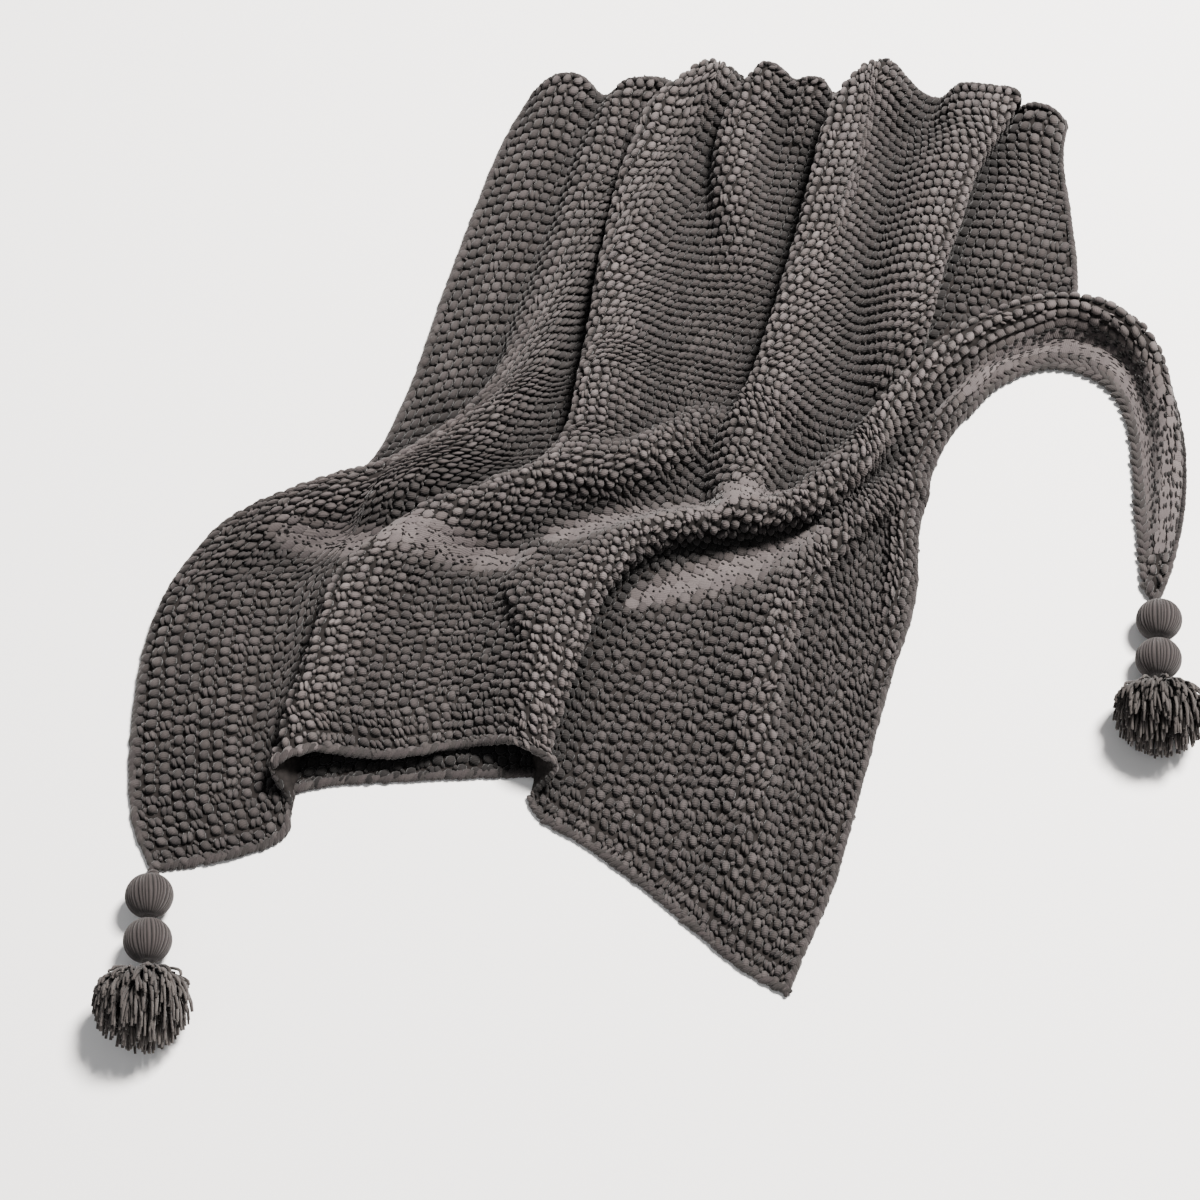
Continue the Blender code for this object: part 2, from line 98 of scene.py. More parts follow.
# Half a knob's length in rows and how square it is, what changes where the knit is calm, and
# how far a dark slit stands above the stitches
HALF_LENGTH = 0.48
KNOB_SQUARENESS = 2.7
CALM_HALF_WIDTH = 0.70
CALM_LENGTH_MORE = 0.20
CALM_FLATTENING = 0.88
SLIT_PROUD = 0.7

# Border rows: the middle of the first, the step to the next, and the gap that fades out past them
BORDER_START = 0.46
BORDER_ROW = 0.90
BORDER_GAP = 0.05
BORDER_FADE = 1.2

# How far the plies shift along a strand with its tone, and how far off the sheet a stitch may be
TONE_SHIFT = 50
ON_SHEET = 2.0

# Edges: the slanted turns of yarn and the two rows of the chain, each with its inset and lean
EDGE_LIFT = 4.6
EDGE_INSET = 3.0
ROPE_LENGTH = 9.4
ROPE_RADIUS = 4.5
ROPE_PITCH = 8.2
SIDE_SLANT = 0.25
HEM_SLANT = 0.5
RIGHT_SLANT = 0.2
CHAIN_LIFT = 6.0
CHAIN_ROWS = ((1.2, 0.60), (7.9, -0.60))
CHAIN_LENGTH = 9.6
CHAIN_RADIUS = 4.8
CHAIN_PITCH = 12.0
CHAIN_START = (478, 272)

# Folds of the cloth
FOLD_BLEND = 4.0
FOLD_FULLNESS = 0.5
FOLD_EASE = 14.0
EASE_LENGTH = 11.0
EDGE_SAMPLES = 160
ROUNDS_OF_EVENING = 3

# Tassels, as they are strung from the corner outwards
NECK_RADIUS = 8.0
NECK_LENGTH = 15.0
BALL_RADIUS = 28.0
BALL_HALF_LENGTH = 26.8
BALL_SINK = 0.8
BALL_RIBS = 38
RIB_DEPTH = 0.09
FIRST_BALL_PLACE = 40.0
SECOND_BALL_PLACE = 94.2
WRAP_PLACE = 127.6
WRAP_RADIUS = 9.0
WRAP_LENGTH = 12.2
POMPOM_PLACE = 174.0
POMPOM_HEIGHT = 42.0
POMPOM_RADIUS = 56.0
POMPOM_TIPS = (2.5, 95.0)
NECK_PLACE = 136.0
STRANDS = 760
WAYS_PER_STRAND = 1.2
WAYS_REACH = 1.84
WAY_JITTER = 0.09
SHORTENING = 0.48
ROOT_SPREAD = 2.4
STRAND_BOW = 2.6
STRAND_WAVE = (0.5, 1.6)
STRAND_RADIUS = 1.75
STRAND_STEPS = 7
STRAND_TAPER = (0.7, 0.85, 1.0, 1.0, 1.0, 1.08, 0.9)
FLOOR_GAP = 0.1
CLEARANCE = 0.8

# Edges of the cloth on the floor, near end to far end or left to right: x, y
LEFT_EDGE = [
    (-526, -362), (-552, -305), (-565, -210), (-565, -140), (-557, -60), (-540, -10),
    (-500, 45), (-450, 92), (-385, 130), (-330, 160), (-292, 205), (-255, 295),
    (-210, 465), (-165, 625), (-125, 745), (-90, 805),
]
HEM_OF_BODY = [
    (-526, -362), (-440, -346), (-374, -319), (-352, -270), (-300, -234), (-220, -222),
    (-150, -205), (-112, -222), (-95, -252), (-75, -292), (-25, -325), (50, -382), (120, -445),
]
FAR_END = [
    (-90, 805), (-45, 812), (45, 800), (150, 818), (230, 816), (285, 804), (380, 818),
    (470, 803), (565, 783), (650, 752),
]
BODY_SEAM = [
    (120, -445), (150, -370), (185, -280), (220, -180), (250, -90), (275, 0), (292, 85),
    (308, 160), (332, 228), (376, 290),
]
BODY_SIDE = [
    (376, 290), (412, 348), (455, 384), (498, 412), (548, 434), (596, 446), (634, 451),
    (645, 505), (646, 560), (645, 625), (642, 695), (650, 752),
]
STRIP_OUTSIDE = [
    (376, 290), (420, 341), (461, 374), (503, 402), (551, 423), (597, 435), (642, 436),
    (686, 424), (716, 400), (736, 364), (746, 312), (748, 205), (737, 115), (717, 40), (700, 2),
]
CHAIN_EDGE = [
    (214, -512), (240, -452), (265, -400), (300, -295), (330, -195), (362, -90), (385, -30),
    (396, 15), (402, 85), (412, 130), (428, 185), (460, 250), (495, 290), (525, 320),
    (560, 338), (595, 346), (635, 338), (665, 318), (682, 290), (690, 240), (688, 175),
    (683, 85), (683, 35), (687, -1),
]
HEM_OF_STRIP = [(120, -445), (163, -482), (214, -512)]
CORNER_END = [(700, 2), (694, 0), (687, -1)]

# Front and back of the layer that shows under the drawn-back hem
UNDERLAYER_FRONT = [(-378, -264), (-330, -253), (-239, -247), (-180, -243), (-62, -240)]
UNDERLAYER_BACK = [(-360, -205), (-320, -198), (-239, -190), (-180, -184), (-70, -186)]

# Bands where the knit is stretched calm, its stitches low and close: x, y and half width
CALM_BANDS = {
    "strip": [(440, 268, 6), (500, 326, 15), (560, 370, 19), (620, 388, 21), (674, 364, 22),
              (706, 304, 27), (718, 230, 30), (718, 150, 28), (708, 75, 18)],
    "roll_top": [(-60, 88, 14), (0, 104, 22), (75, 112, 24), (160, 124, 22), (235, 146, 14)],
    "below_roll": [(45, -2, 12), (95, 18, 22), (155, 36, 26), (220, 58, 22), (275, 84, 12)],
    "seat": [(-400, 82, 14), (-320, 80, 22), (-235, 78, 24), (-160, 62, 22), (-95, 52, 14)],
}

# Folds, walked from the far end: x and y of the crest, its height, how far it leans to the
# right hand for each millimetre of height, and the reach of its left and right flanks
FOLDS = {
    "left_roll": [
        (85, 824, 52, 0.0, 45, 45), (45, 785, 44, 0.0, 50, 45), (15, 720, 40, 0.0, 50, 50),
        (-25, 565, 40, 0.0, 50, 55), (-75, 405, 44, 0.0, 55, 55), (-130, 280, 48, 0.2, 60, 45),
        (-180, 225, 48, 0.3, 60, 42), (-255, 170, 48, 0.3, 60, 38), (-350, 137, 46, 0.3, 60, 36),
        (-450, 90, 38, 0.3, 60, 34), (-500, 42, 30, 0.2, 60, 34), (-525, -35, 20, 0.0, 60, 36),
        (-535, -130, 10, 0.0, 60, 36), (-530, -240, 4, 0.0, 60, 36),
    ],
    "long_fold": [
        (150, 815, 58, 0.4, 65, 40), (85, 750, 60, 0.4, 70, 40), (50, 655, 60, 0.4, 75, 40),
        (15, 495, 56, 0.5, 80, 40), (-10, 325, 52, 0.5, 80, 40), (-40, 200, 48, 0.4, 75, 42),
        (-110, 138, 46, 0.3, 55, 45), (-210, 105, 46, 0.4, 60, 42), (-305, 25, 46, 0.7, 80, 38),
        (-350, -100, 46, 1.0, 100, 34), (-390, -285, 42, 1.2, 110, 30),
    ],
    "cross_fold": [
        (140, 250, 20, 0.0, 50, 45), (95, 218, 40, 0.0, 50, 45), (20, 178, 48, 0.0, 50, 46),
        (-75, 150, 48, 0.0, 50, 48), (-125, 135, 44, 0.0, 50, 48),
    ],
    "short_fold": [
        (235, 820, 52, 0.4, 50, 36), (200, 770, 50, 0.4, 55, 36), (180, 710, 45, 0.4, 60, 38),
        (175, 620, 36, 0.3, 60, 40), (185, 540, 20, 0.2, 60, 45), (182, 450, 4, 0.0, 60, 50),
    ],
    "middle_fold": [
        (380, 812, 60, 0.4, 75, 38), (340, 760, 60, 0.4, 80, 38), (320, 700, 60, 0.4, 85, 38),
        (300, 615, 60, 0.4, 90, 38), (245, 410, 58, 0.4, 90, 38), (210, 300, 54, 0.4, 85, 38),
        (192, 235, 52, 0.1, 75, 55), (180, 165, 48, 0.0, 62, 62), (172, 120, 52, 0.0, 50, 50),
    ],
    "middle_pucker": [
        (305, 822, 54, 0.0, 34, 30), (285, 775, 34, 0.0, 34, 32), (275, 725, 8, 0.0, 34, 34),
    ],
    "right_fold": [
        (575, 780, 52, -0.4, 38, 60), (535, 710, 58, -0.4, 38, 75), (500, 645, 60, -0.4, 38, 85),
        (470, 555, 60, -0.4, 38, 90), (445, 490, 60, -0.4, 38, 85), (425, 415, 56, -0.4, 38, 75),
        (402, 355, 44, -0.3, 38, 60), (385, 320, 22, -0.2, 36, 50),
    ],
    "right_pucker": [
        (520, 800, 44, 0.0, 36, 36), (495, 745, 30, 0.0, 36, 36), (480, 690, 6, 0.0, 36, 36),
    ],
    "arm_roll": [
        (694, 22, 12, 0.0, 14, 14), (718, 110, 18, 0.0, 30, 26), (735, 200, 24, 0.0, 34, 24),
        (733, 290, 30, 0.1, 30, 24), (714, 370, 40, 0.2, 24, 28), (668, 413, 48, 0.3, 22, 30),
        (595, 421, 49, 0.4, 22, 32), (513, 390, 50, 0.5, 22, 36), (434, 332, 51, 0.5, 24, 38),
        (370, 252, 53, 0.2, 30, 38), (326, 174, 54, -0.3, 38, 38), (260, 116, 54, -0.3, 38, 38),
        (175, 94, 54, -0.3, 38, 38), (75, 78, 54, -0.3, 38, 42), (10, 20, 54, -0.5, 40, 70),
        (-30, -80, 50, -0.8, 36, 105), (-50, -185, 46, -1.0, 34, 110), (-62, -262, 44, -1.1, 32, 110),
    ],
    "second_roll": [
        (395, 152, 24, -0.3, 34, 40), (330, 105, 32, -0.4, 36, 46), (285, 55, 32, -0.4, 36, 52),
        (240, -20, 32, -0.4, 36, 60), (205, -120, 30, -0.4, 36, 66), (190, -200, 24, -0.3, 40, 66),
        (175, -300, 14, -0.2, 45, 60), (165, -420, 6, 0.0, 50, 50),
    ],
    "hem_curl": [
        (-75, 55, 16, 0.0, 60, 40), (-97, -3, 32, 0.2, 60, 36), (-110, -79, 38, 0.3, 60, 34),
        (-118, -146, 40, 0.3, 60, 32), (-128, -205, 40, 0.3, 60, 32),
    ],
    "pleat_floor": [
        (-240, 40, 3, 0.0, 90, 90), (-245, -80, 14, 0.0, 110, 100), (-235, -235, 22, 0.0, 110, 100),
    ],
    "left_back_swell": [
        (-45, 815, 46, 0.0, 60, 60), (-70, 740, 24, 0.0, 60, 60), (-100, 630, 14, 0.0, 65, 65),
        (-135, 465, 10, 0.0, 60, 60), (-190, 300, 6, 0.0, 50, 50),
    ],
    "right_back_swell": [
        (622, 765, 36, 0.0, 45, 55), (600, 700, 18, 0.0, 60, 60), (570, 600, 10, 0.0, 65, 65),
        (545, 490, 6, 0.0, 60, 60),
    ],
    "near_left_swell": [
        (-455, 10, 6, 0.0, 80, 80), (-460, -150, 14, 0.0, 90, 90), (-465, -300, 7, 0.0, 80, 60),
    ],
    "rolled_selvedge": [
        (540, 345, 4, 0.0, 15, 16), (506, 330, 14, 0.0, 17, 17), (467, 288, 21, 0.0, 19, 18),
        (436, 250, 23, 0.0, 20, 18), (401, 187, 23, 0.0, 20, 18), (387, 130, 23, 0.0, 20, 18),
        (379, 75, 22, 0.0, 20, 18), (371, 15, 20, 0.0, 19, 18), (356, -50, 14, 0.0, 18, 17),
        (338, -120, 4, 0.0, 15, 16),
    ],
}

# Where the random draws of each part start
SEEDS = {"body": 11, "corner": 21, "strip": 31, "under_layer": 41, "edges": 5,
         "left": 71, "right": 72}

# Corners that carry a tassel, and the way it lies on the floor
TASSELS = {
    "left": {"corner": (-523, -361.4), "towards": (0.06, -1.0)},
    "right": {"corner": (693, -2.5), "towards": (-0.13, -1.0)},
}


def plan_shift():
    """How far the CAD moved the plan: where the left upper ball is, less its plan place."""
    low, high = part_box("left_upper_ball")
    ahead = np.array(TASSELS["left"]["towards"]) / np.hypot(*TASSELS["left"]["towards"])
    plan = np.array(TASSELS["left"]["corner"]) + ahead * FIRST_BALL_PLACE
    return np.append((np.array(low)[:2] + np.array(high)[:2]) / 2 / MM - plan, 0.0)


SHIFT = plan_shift()


# ---- Surface of the cloth ----

def curve_through(rows, count):
    """A smooth curve through the rows of a table, as count points an even way apart: each
    stretch is a cubic that passes a row with the slope of the line between its neighbours."""
    rows = np.array(rows, float)
    step = np.linalg.norm(np.diff(rows[:, :2], axis=0), axis=1)
    place = np.concatenate(([0.0], np.cumsum(step)))
    slope = np.gradient(rows, place, axis=0)
    fine = np.linspace(0.0, place[-1], 30 * len(rows))
    k = np.clip(np.searchsorted(place, fine, side="right") - 1, 0, len(rows) - 2)
    t = ((fine - place[k]) / step[k])[:, None]
    reach = step[k][:, None]
    start = rows[k] * (1 + 2 * t) * (1 - t) ** 2 + slope[k] * reach * t * (1 - t) ** 2
    end = rows[k + 1] * t * t * (3 - 2 * t) + slope[k + 1] * reach * t * t * (t - 1)
    curve = start + end
    moved = np.linalg.norm(np.diff(curve[:, :2], axis=0), axis=1)
    along = np.concatenate(([0.0], np.cumsum(moved)))
    even = np.linspace(0.0, along[-1], count)
    return np.stack([np.interp(even, along, column) for column in curve.T], axis=1)


def point_on(curve, share):
    """The point at each share (0 to 1) of an evenly spaced curve's length."""
    places = np.linspace(0.0, 1.0, len(curve))
    return np.stack([np.interp(share, places, column) for column in curve.T], axis=-1)


def side_on(first, second, share):
    """The point on two curves joined end to end, the join lying at SLIT_SHARE."""
    lower = point_on(first, np.clip(share / SLIT_SHARE, 0, 1))
    upper = point_on(second, np.clip((share - SLIT_SHARE) / (1 - SLIT_SHARE), 0, 1))
    return np.where((share < SLIT_SHARE)[..., None], lower, upper)


def patch(u, v, left, right, near, far):
    """Plan point at u, v between four edges: straight blends of both pairs of facing edges,
    less the blend of the four corners."""
    a, b, c, d = (1 - u)[..., None], u[..., None], (1 - v)[..., None], v[..., None]
    corners = a * c * near[0] + b * c * near[-1] + a * d * far[0] + b * d * far[-1]
    return a * left(v) + b * right(v) + c * point_on(near, u) + d * point_on(far, u) - corners


def make_fold(rows, count=100):
    """A fold ready for measuring: its crest moved back to where it would stand if it did not
    lean, with the direction to its right hand."""
    crest = curve_through(rows, count)
    ahead = np.gradient(crest[:, :2], axis=0)
    ahead /= np.linalg.norm(ahead, axis=1)[:, None]
    right = np.stack([ahead[:, 1], -ahead[:, 0]], axis=1)
    line = crest[:, :2] - right * (crest[:, 2] * crest[:, 3])[:, None]
    return {"line": line, "right": right, "rest": crest[:, 2:]}


def fold_at(fold, flat):
    """Height that one fold gives each floor point, and its sideways lean: a cosine from the
    crest to the foot, over the reach of the flank, steepened at its middle.  The crest points
    near the foot of the shortest way to the crest are averaged, so bends pass smoothly."""
    away = flat[:, None, :] - fold["line"][None]
    square = (away ** 2).sum(-1)
    nearest = square.min(axis=1)
    weight = np.exp((nearest[:, None] - square) / (2 * FOLD_EASE ** 2))
    weight /= weight.sum(axis=1)[:, None]
    rest = weight @ fold["rest"]
    right = weight @ fold["right"]
    on_left = ((weight[..., None] * away).sum(axis=1) * right).sum(-1) < 0
    q = np.clip(np.sqrt(nearest) / np.where(on_left, rest[:, 2], rest[:, 3]), 0, 1)
    q = q - FOLD_FULLNESS * np.sin(2 * np.pi * q) / (2 * np.pi)
    height = rest[:, 0] * (0.5 + 0.5 * np.cos(np.pi * q))
    return height, right * (rest[:, 1] * height)[:, None]


def raise_folds(plan, folds):
    """Underside of the cloth over plan points: the power mean of the folds, leaning with the
    fold that is highest there."""
    flat = plan.reshape(-1, 2)
    weight_sum = np.zeros(len(flat))
    lean = np.zeros((len(flat), 2))
    for fold in folds:
        height, aside = fold_at(fold, flat)
        weight = height ** FOLD_BLEND
        weight_sum += weight
        lean += aside * weight[:, None]
    lean /= np.maximum(weight_sum, 1e-9)[:, None]
    points = np.column_stack([flat + lean, weight_sum ** (1 / FOLD_BLEND)])
    return points.reshape(plan.shape[:-1] + (3,))


def even_out(place, points, axis, stops):
    """Slide the grid along one axis so that its points lie an even way apart on the cloth;
    the grid lines in stops stay."""
    place = np.moveaxis(place, axis, 0)
    points = np.moveaxis(points, axis, 0)
    moved = place.copy()
    for first, last in zip(stops[:-1], stops[1:]):
        step = np.linalg.norm(np.diff(points[first:last + 1], axis=0), axis=-1)
        along = np.concatenate([np.zeros_like(step[:1]), np.cumsum(step, axis=0)])
        for line in range(along.shape[1]):
            even = np.linspace(0.0, along[-1, line], last - first + 1)
            for part in range(2):
                old = place[first:last + 1, line, part]
                moved[first:last + 1, line, part] = np.interp(even, along[:, line], old)
    return np.moveaxis(moved, 0, axis)


def refine(place, axis):
    """The same grid with FINER times as many steps along one axis."""
    place = np.moveaxis(place, axis, 0)
    last = len(place) - 1
    new = np.linspace(0, last, last * FINER + 1)
    low = np.minimum(new.astype(int), last - 1)
    part = (new - low)[:, None, None]
    return np.moveaxis(place[low] * (1 - part) + place[low + 1] * part, 0, axis)


def ease_edges(points):
    """Points on the four edges of a grid move towards the mean of their two neighbours."""
    for edge in (points[0], points[-1], points[:, 0], points[:, -1]):
        edge[1:-1] = (edge[1:-1] + (edge[:-2] + edge[2:]) / 2) / 2


def ease_inside(points):
    """Points inside a grid move towards the mean of their four neighbours."""
    mean = (points[:-2, 1:-1] + points[2:, 1:-1] + points[1:-1, :-2] + points[1:-1, 2:]) / 4
    points[1:-1, 1:-1] = (points[1:-1, 1:-1] + mean) / 2


def ease(body, strip, joined):
    """Round off sharp creases of both patches and of the seam between them, which runs up to
    the grid line joined."""
    spacing = np.linalg.norm(np.diff(body, axis=1), axis=-1).mean()
    for _ in range(int((EASE_LENGTH / spacing) ** 2)):
        ends = [body[0, -1].copy(), body[joined, -1].copy()]
        beside = np.concatenate([body[:joined + 1, -3:], strip[:joined + 1, 1:3]], axis=1)
        ease_inside(beside)
        for points in (body, strip):
            ease_edges(points)
            ease_inside(points)
        body[:joined + 1, -1] = beside[:, 2]
        body[0, -1], body[joined, -1] = ends
        strip[:joined + 1, 0] = body[:joined + 1, -1]


def lay_plan(columns, row_stops, edges, folds):
    """Plan points of a grid between four edges, rows first, spaced evenly on the cloth."""
    share = np.interp(np.arange(row_stops[-1] + 1), row_stops, [0.0, SLIT_SHARE, 1.0])
    v, u = np.meshgrid(share, np.linspace(0, 1, columns + 1), indexing="ij")
    place = np.stack([u, v], axis=-1)
    for _ in range(ROUNDS_OF_EVENING):
        points = raise_folds(patch(place[..., 0], place[..., 1], *edges), folds)
        place = even_out(place, points, 1, [0, columns])
        points = raise_folds(patch(place[..., 0], place[..., 1], *edges), folds)
        place = even_out(place, points, 0, row_stops)
    place = refine(refine(place, 0), 1)
    return patch(place[..., 0], place[..., 1], *edges)


def lay_corner(main, folds):
    """Plan points of the knit right of the slit's wale: its rows run on from the last column
    of the main grid, spaced evenly on the cloth, and some run past the edge."""
    start = main[ROWS_TO_SLIT * FINER:, -1]
    ahead = unit(start - main[ROWS_TO_SLIT * FINER:, -9])
    reach = np.linspace(0.0, CORNER_REACH, CORNER_STEPS * FINER + 1)[None, :, None]
    place = start[:, None] + ahead[:, None] * reach
    for _ in range(ROUNDS_OF_EVENING):
        place = even_out(place, raise_folds(place, folds), 1, [0, CORNER_STEPS * FINER])
    return place


def lay_all():
    """Plan of the body, underside points of the body and of the strip that runs out to the
    right, and plan of the body's knit, whose wales run on from the slit to the far end."""
    folds = [make_fold(rows) for rows in FOLDS.values()]
    left, seam, side, outside, chain, near_body, far_body, near_strip, far_strip = (
        curve_through(rows, EDGE_SAMPLES) for rows in (
            LEFT_EDGE, BODY_SEAM, BODY_SIDE, STRIP_OUTSIDE, CHAIN_EDGE,
            HEM_OF_BODY, FAR_END, HEM_OF_STRIP, CORNER_END))
    body_stops = [0, ROWS_TO_SLIT, ROWS_TO_SLIT + BODY_ROWS_PAST]
    body_edges = (lambda v: point_on(left, v), lambda v: side_on(seam, side, v),
                  near_body, far_body)
    strip_edges = (lambda v: side_on(seam, outside, v), lambda v: point_on(chain, v),
                   near_strip, far_strip)
    floor = lay_plan(BODY_WALES, body_stops, body_edges, folds)
    strip_floor = lay_plan(STRIP_STEPS, [0, ROWS_TO_SLIT, ROWS_TO_SLIT + STRIP_ROWS_PAST],
                           strip_edges, folds)
    body, strip = raise_folds(floor, folds), raise_folds(strip_floor, folds)
    ease(body, strip, ROWS_TO_SLIT * FINER)
    far_main = far_body[:int(FAR_END_SHARE * EDGE_SAMPLES)]
    wale = np.linspace(seam[-1], far_main[-1], EDGE_SAMPLES)
    knit_edges = (lambda v: point_on(left, v), lambda v: side_on(seam, wale, v),
                  near_body, far_main)
    main = lay_plan(BODY_WALES, body_stops, knit_edges, folds)
    return floor, body, strip, main, lay_corner(main, folds)


def unit(vectors):
    """The same vectors with length one."""
    return vectors / np.maximum(np.linalg.norm(vectors, axis=-1), 1e-9)[..., None]


def measure(points):
    """A cloth grid with what a stitch needs: its points, the step across one grid column,
    the step along one grid row, and the normal, which is the cross of the two steps."""
    across = np.gradient(points, axis=1)
    along = np.gradient(points, axis=0)
    return {"points": points, "across": across, "along": along,
            "normal": unit(np.cross(across, along))}


def sample(grid, rows, columns):
    """Values of a grid at fractional rows and columns: the blend of the four around them."""
    rows = np.clip(rows, 0, grid.shape[0] - 1.001)
    columns = np.clip(columns, 0, grid.shape[1] - 1.001)
    r, c = rows.astype(int), columns.astype(int)
    p, q = (rows - r)[..., None], (columns - c)[..., None]
    return ((grid[r, c] * (1 - q) + grid[r, c + 1] * q) * (1 - p)
            + (grid[r + 1, c] * (1 - q) + grid[r + 1, c + 1] * q) * p)


def cross2(a, b):
    """Cross product of plan directions, as one number each."""
    return (a[..., 0] * b[..., 1] - a[..., 1] * b[..., 0])[..., None]


def locate(floor, targets):
    """Fractional rows and columns of a plan grid at plan points: from the nearest grid point,
    a few steps by the grid's own two directions."""
    flat = floor.reshape(-1, 2)
    tree = KDTree(len(flat))
    for number, (x, y) in enumerate(flat):
        tree.insert((x, y, 0.0), number)
    tree.balance()
    nearest = np.array([tree.find((x, y, 0.0))[1] for x, y in targets])
    at = np.stack(np.divmod(nearest, floor.shape[1]), axis=1).astype(float)
    along, across = np.gradient(floor, axis=0), np.gradient(floor, axis=1)
    for _ in range(5):
        miss = targets - sample(floor, at[:, 0], at[:, 1])
        a, b = sample(along, at[:, 0], at[:, 1]), sample(across, at[:, 0], at[:, 1])
        step = np.hstack([cross2(miss, b), cross2(a, miss)]) / cross2(a, b)
        at = np.clip(at + np.clip(step, -3, 3), 0, np.array(floor.shape[:2]) - 1.0)
    return at[:, 0], at[:, 1], np.linalg.norm(targets - sample(floor, at[:, 0], at[:, 1]), axis=1)


def knit_on(sheet, floor, plan):
    """The knit's grid on a sheet, with what a stitch needs.  floor is the sheet's own grid in
    the plan.  Steps of the knit are carried over from the plan by the sheet's steps."""
    rows, columns, miss = locate(floor, plan.reshape(-1, 2))
    a = sample(np.gradient(floor, axis=0), rows, columns)
    b = sample(np.gradient(floor, axis=1), rows, columns)
    along, across = sample(sheet["along"], rows, columns), sample(sheet["across"], rows, columns)
    knit = {"points": sample(sheet["points"], rows, columns),
            "normal": unit(sample(sheet["normal"], rows, columns))}
    for name, axis in (("along", 0), ("across", 1)):
        step = np.gradient(plan, axis=axis).reshape(-1, 2)
        knit[name] = (cross2(step, b) * along + cross2(a, step) * across) / cross2(a, b)
    knit = {name: field.reshape(plan.shape[:2] + (3,)) for name, field in knit.items()}
    last_row, last_column = floor.shape[0] - 1, floor.shape[1] - 1
    inside = (miss < ON_SHEET) & (rows < last_row - 0.8) & (columns < last_column - 0.9)
    return knit, inside.reshape(plan.shape[:2])


# ---- Meshes ----

def off_floor(points):
    """The same points, none of them lower than a hair above the floor."""
    points[:, 2] = np.maximum(points[:, 2], FLOOR_GAP)
    return points


def in_scene(name, data):
    """A new object of the data, put into the scene."""
    obj = bpy.data.objects.new(name, data)
    bpy.context.scene.collection.objects.link(obj)
    return obj


def new_piece(name, points, faces, material, uv=None, **values):
    """A smooth mesh object.  points are plan millimetres; faces are arrays of corner numbers,
    one array for each count of corners; uv and values are given at the points."""
    mesh = bpy.data.meshes.new(name)
    corners = np.concatenate([np.asarray(part).reshape(-1) for part in faces])
    sizes = np.concatenate([np.full(len(part), np.asarray(part).shape[1]) for part in faces])
    mesh.vertices.add(len(points))
    mesh.vertices.foreach_set("co", ((points + SHIFT) * MM).astype(np.float32).reshape(-1))
    mesh.loops.add(len(corners))
    mesh.loops.foreach_set("vertex_index", corners.astype(np.int32))
    mesh.polygons.add(len(sizes))
    starts = np.concatenate([[0], np.cumsum(sizes)[:-1]])
    mesh.polygons.foreach_set("loop_start", starts.astype(np.int32))
    mesh.polygons.foreach_set("use_smooth", np.ones(len(sizes), bool))
    if uv is not None:
        layer = mesh.uv_layers.new(name="yarn")
        layer.data.foreach_set("uv", uv[corners].astype(np.float32).reshape(-1))
    for key, value in values.items():
        attribute = mesh.attributes.new(key, "FLOAT", "POINT")
        attribute.data.foreach_set("value", np.asarray(value, np.float32))
    mesh.update(calc_edges=True)
    mesh.materials.append(material)
    piece = in_scene(name, mesh)
    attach(piece, "root")
    return piece


def ringed(around, profile):
    """A closed form of revolution about z: rings of radius and height, with a point at the
    foot and at the top.  Returns its points, its quads and its triangles."""
    turn = np.arange(around) * 2 * np.pi / around
    rings = [np.column_stack([r * np.cos(turn), r * np.sin(turn), np.full(around, z)])
             for r, z in profile[1:-1]]
    points = np.concatenate(rings + [[[0, 0, profile[0][1]]], [[0, 0, profile[-1][1]]]])
    k = np.arange(around)
    after = (k + 1) % around
    quads = [np.column_stack([row + k, row + after, row + around + after, row + around + k])
             for row in range(0, (len(rings) - 1) * around, around)]
    last = (len(rings) - 1) * around
    foot, top = len(rings) * around, len(rings) * around + 1
    triangles = np.concatenate([np.column_stack([after, k, np.full(around, foot)]),
                                np.column_stack([last + k, last + after, np.full(around, top)])])
    return points, np.concatenate(quads), triangles


def squared(form):
    """The same form with its corners pushed out, so that neighbours press on each other."""
    points, quads, triangles = form
    x, y = unit(points[:, :2]).T
    power = KNOB_SQUARENESS
    out = np.maximum(np.abs(x) ** power + np.abs(y) ** power, 1e-9) ** (-1 / power)
    out = np.where(np.abs(x) + np.abs(y) > 0, out, 1.0)[:, None]
    return np.hstack([points[:, :2] * out, points[:, 2:]]), quads, triangles


def repeat(form, places, x_axis, y_axis, z_axis):
    """Copies of a form at many places, each in its own axes, whose lengths scale it."""
    points, quads, triangles = form
    count = len(places)
    copies = (places[:, None] + points[None, :, :1] * x_axis[:, None]
              + points[None, :, 1:2] * y_axis[:, None] + points[None, :, 2:] * z_axis[:, None])
    first = (np.arange(count) * len(points))[:, None, None]
    return (copies.reshape(-1, 3), (quads[None] + first).reshape(-1, quads.shape[1]),
            (triangles[None] + first).reshape(-1, 3))


def gather(sets):
    """Several sets of points, quads, triangles and values at the points, as one set."""
    points, quads, triangles, values = [], [], [], []
    first = 0
    for these, four, three, value in sets:
        points.append(these)
        quads.append(four + first)
        triangles.append(three + first)
        values.append(value)
        first += len(these)
    return (np.concatenate(points), np.concatenate(quads), np.concatenate(triangles),
            np.concatenate(values))


# ---- Stitches ----

